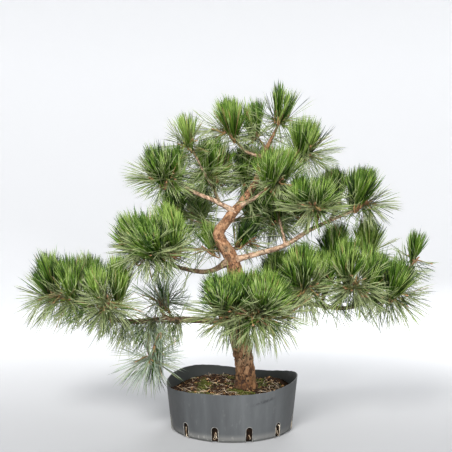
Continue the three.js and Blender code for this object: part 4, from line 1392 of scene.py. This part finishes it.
def on_soil(radius, azimuth, rough=1):
    """Points of the soil's skin, smoother where rough is under 1."""
    spots = about_axis(radius, azimuth, 0)
    x, y = spots[..., 0], spots[..., 1]
    spots[..., 2] = soil_height_at(x, y) + rough * lumps_at(x, y)
    return spots


def make_soil():
    columns = 200
    azimuth = round_angles(columns)
    edge = wall_radius_at(SOIL["edge"]) - POT["wall"] - SOIL["gap"]
    rings = [
        on_soil(radius, azimuth, min(1, (edge - radius) / 6)) for radius in np.linspace(0.01, 1, 70) * edge
    ]
    brim, bottom = rings[-1][:, 2], POT["floor"] + GAP
    for share in np.linspace(0.06, 1, 26):
        height = (1 - share) * brim + share * bottom
        crumbs = plane_noise(azimuth * edge, height, 5, 25)
        radius = wall_radius_at(height) - POT["wall"] - SOIL["gap"] - 1.2 * np.abs(crumbs)
        rings.append(about_axis(radius, azimuth, height))
    rings = np.array(rings)
    points = np.concatenate([rings.reshape(-1, 3), [rings[0].mean(0), (0, 0, bottom)]])
    faces = [group[:, ::-1] for group in loft_faces(1, len(rings), columns)]
    moss = moss_at(points[:, 0], points[:, 1]) * (points[:, 2] > SOIL["edge"] - 12)
    soil = mesh_object("soil_mound", points, faces, [FINISHES["soil"]], carried={"moss": moss})
    settle(soil, "soil", "soil")


def ground_patch(rings=44, columns=96):
    """The top of the soil alone, for what is strewn on it."""
    edge = wall_radius_at(SOIL["edge"]) - POT["wall"] - 5
    radius = np.linspace(0.02, 1, rings)[:, None] * edge
    points = on_soil(radius, round_angles(columns)).reshape(-1, 3)
    faces = np.roll(loft_faces(1, rings, columns)[0], -1, axis=1)
    clear = np.hypot(points[:, 0] - 35.5, points[:, 1]) >= 33  # of the trunk
    moss = moss_at(points[:, 0], points[:, 1]) * clear
    bare = (1 - 0.85 * moss) * clear
    middle = bare * (np.hypot(points[:, 0], points[:, 1]) < edge - 24)
    shares = {"moss": moss, "bare": bare, "middle": middle}
    return mesh_object("ground_patch", points, [faces], carried=shares)


def strew(name, ground, shape, finish, density, where, size, tilt, seed):
    """Copies of a shape strewn over the ground, each turned and sized at random."""
    values = {
        "Shape": shape, "Density": float(density), "Smallest": size[0], "Largest": size[1],
        "Tilt": tilt, "Seed": seed,
    }
    tree, given = shape_tree(name, values)
    share = tree.add("GeometryNodeInputNamedAttribute", {"data_type": "FLOAT"}, {"Name": where})
    spread = {"Mesh": given["Ground"], "Density": given["Density"] * share, "Seed": given["Seed"]}
    points = tree.add("GeometryNodeDistributePointsOnFaces", {}, spread)
    normal = Value(tree, points.socket.node.outputs["Rotation"])
    back = given["Tilt"] * -1
    turns = {
        0: tree.vector(back, back, 0.0), 1: tree.vector(given["Tilt"], given["Tilt"], 2 * math.pi),
        "Seed": given["Seed"],
    }
    turn = tree.add("FunctionNodeRandomValue", {"data_type": "FLOAT_VECTOR"}, turns)
    turns = {"Rotation": normal, "Rotate By": turn}
    turned = tree.add("FunctionNodeRotateRotation", {"rotation_space": "LOCAL"}, turns)
    sizes = {2: given["Smallest"], 3: given["Largest"], "Seed": given["Seed"] + 1}
    scale = tree.add("FunctionNodeRandomValue", {"data_type": "FLOAT"}, sizes, 1)
    copy = {"Object": given["Shape"], "As Instance": True}
    copy = tree.add("GeometryNodeObjectInfo", {}, copy, "Geometry")
    copies = {"Points": points, "Instance": copy, "Rotation": turned, "Scale": scale}
    realized(tree, tree.add("GeometryNodeInstanceOnPoints", {}, copies), FINISHES[finish])
    settle(made_by(name, tree, values, ground), "soil")


def lump_shape(name, radii, seed, corners=6):
    """A small closed uneven lump."""
    radii = np.array(radii, float)
    line = np.zeros((1, 4, 3))
    line[0, :, 2] = np.array([-0.8, -0.3, 0.3, 0.8]) * radii[2]
    points, faces = tubes(line, np.array([[0.5, 1, 1, 0.5]]), corners)
    points = points[0] * [radii[0], radii[1], 1]
    points[-2:, 2] += [-0.2 * radii[2], 0.2 * radii[2]]
    points += np.random.default_rng(seed).normal(0, 0.12, points.shape) * radii
    return mesh_object(name, points, faces)


def sliver_shape(name, length, radius, bow, corners=3, rings=6):
    """A thin curved sliver that lies along X."""
    share = np.linspace(-0.5, 0.5, rings)
    line = np.stack([share * length, bow * length * (0.25 - share**2), 0 * share], -1)[None]
    taper = radius * np.sqrt(np.maximum(1 - (2 * share) ** 6, 0.02))
    points, faces = tubes(line, taper[None], corners)
    return mesh_object(name, points[0], faces)


def strew_litter():
    ground = ground_patch()
    grit = lump_shape("grit_shape", (1.9, 1.5, 1.2), 5)
    chip = lump_shape("chip_shape", (6, 3.6, 0.9), 6, 7)
    needle = sliver_shape("fallen_shape", 62, 0.75, 0.22)
    fibre = sliver_shape("fibre_shape", 34, 0.55, 0.9, 4, 9)
    leaf = sliver_shape("moss_shape", 4.2, 0.5, 0.1, 3, 4)
    strew("grit", ground, grit, "grit", 26000, "bare", (0.6, 1.9), 0.5, 1)
    strew("bark_chips", ground, chip, "chip", 2600, "bare", (0.35, 1.15), 0.5, 2)
    strew("fallen_needles", ground, needle, "fallen_needle", 4200, "middle", (0.3, 0.8), 0.22, 3)
    strew("fibres", ground, fibre, "root", 2600, "middle", (0.4, 1.1), 0.6, 4)
    strew("moss_leaves", ground, leaf, "moss", 110000, "moss", (0.6, 1.5), 1.2, 5)
    for helper in (ground, grit, chip, needle, fibre, leaf):
        bpy.data.objects.remove(helper)


def make_slot_roots():
    """Pale roots that have found their way out of the slots."""
    random = np.random.default_rng(12)
    lines, radii = [], []
    for slot, amount in ((11, 3), (0, 1), (1, 3), (10, 2), (2, 3), (5, 2), (7, 2)):
        out, side = slot_ways(slot)
        for _ in range(amount):
            heights = np.sort(random.uniform(3, 32, 4))[::-1]
            sway = np.clip(np.cumsum(random.normal(0, 3.2, 4)) * 0.8, -6.5, 6.5)
            forward = np.array([-3, 0.5, 2.0, 2.6]) + random.uniform(-0.5, 0.5, 4)
            route = [
                out * (wall_radius_at(height) - POT["wall"] + push) + side * shift + UP * height
                for height, shift, push in zip(heights, sway, forward)
            ]
            lines.append(evenly(curve_through(route), 18))
            radii.append(np.linspace(0.9, 0.35, 18) * random.uniform(0.7, 1.2))
    points, faces = tubes(np.array(lines), np.array(radii), 6)
    settle(mesh_object("slot_roots", points.reshape(-1, 3), faces, [FINISHES["root"]]), "soil")


# The studio


def floor_colour(tree):
    """Grey near the tree and paler behind it."""
    return tree.blend(tree.axis("Y").between(-0.8, 1.4), paint((160, 161, 164)), paint((232, 233, 235)))


def studio_glow(tree):
    """The sweep far behind glows a little, so that it is as pale as the floor."""
    away = tree.add("ShaderNodeVectorMath", {"operation": "LENGTH"}, {0: tree.place()}, "Value")
    share = away.between(0.3, 1.8) * (0.15 + tree.axis("Y").between(-2.5, 2.5) * 0.85)
    glow = STUDIO["glow"]
    return tree.blend(share, (0, 0, 0, 1), (glow, glow * 1.01, glow * 1.03, 1))


def make_floor():
    """A pale floor that sweeps up far behind, so that no edge shows."""
    flat, bend, top, columns = 2900, 2000, 3900, 96
    turn = np.linspace(0, math.pi / 2, 16)
    radius = np.concatenate([[300, 900, 1800], flat + bend * np.sin(turn), [flat + bend]])
    height = np.concatenate([[0, 0, 0], bend * (1 - np.cos(turn)), [top]])
    rings = about_axis(radius[:, None], round_angles(columns), height[:, None])
    points = np.concatenate([rings.reshape(-1, 3), [(0, 0, 0)]])
    sides = loft_faces(1, len(rings), columns)[0][:, ::-1]
    first = np.arange(columns)
    middle = np.stack([first, np.roll(first, -1), np.full(columns, len(points) - 1)], -1)
    finish = finish_named(
        "studio_floor", floor_colour, roughness=0.9, emission_color=studio_glow, emission_strength=1.0,
    )
    floor = mesh_object("floor", points, [sides, middle], [finish])


def area_light(name, place, size, watts, colour):
    light = bpy.data.lights.new(name, "AREA")
    light.shape = "RECTANGLE"
    light.size, light.size_y = (side * MM for side in size)
    light.energy = watts
    light.color = colour
    holder = placed(name, light)
    holder.location = tuple(axis * MM for axis in place)
    holder.visible_camera = False
    way = Vector(STUDIO["aim"]) - Vector(place)
    holder.rotation_euler = way.to_track_quat("-Z", "Y").to_euler()


def make_studio():
    scene = bpy.context.scene
    lens = bpy.data.cameras.new("camera")
    lens.lens = CAMERA["lens"]
    lens.sensor_width = CAMERA["sensor"]
    camera = placed("camera", lens)
    camera.location = tuple(axis * MM for axis in CAMERA["place"])
    camera.rotation_euler = (math.pi / 2, 0, 0)
    scene.camera = camera
    scene.view_settings.view_transform = "Standard"
    scene.world = bpy.data.worlds.new("studio")
    scene.world.use_nodes = True
    sky = scene.world.node_tree.nodes["Background"]
    sky.inputs["Color"].default_value = (0.97, 0.985, 1.0, 1)
    sky.inputs["Strength"].default_value = STUDIO["sky"]
    make_floor()
    for name, light in STUDIO["lights"].items():
        area_light(name, *light)


make_studio()
make_pot()
make_slot_lips()
make_soil()
strew_litter()
make_slot_roots()
make_trunk()
make_boughs()
all_grown = [grow(mass, seed) for seed, mass in enumerate(MASSES, 1)]
for grown in all_grown:
    make_needles(grown)
make_twigs(all_grown)
make_buds(all_grown)
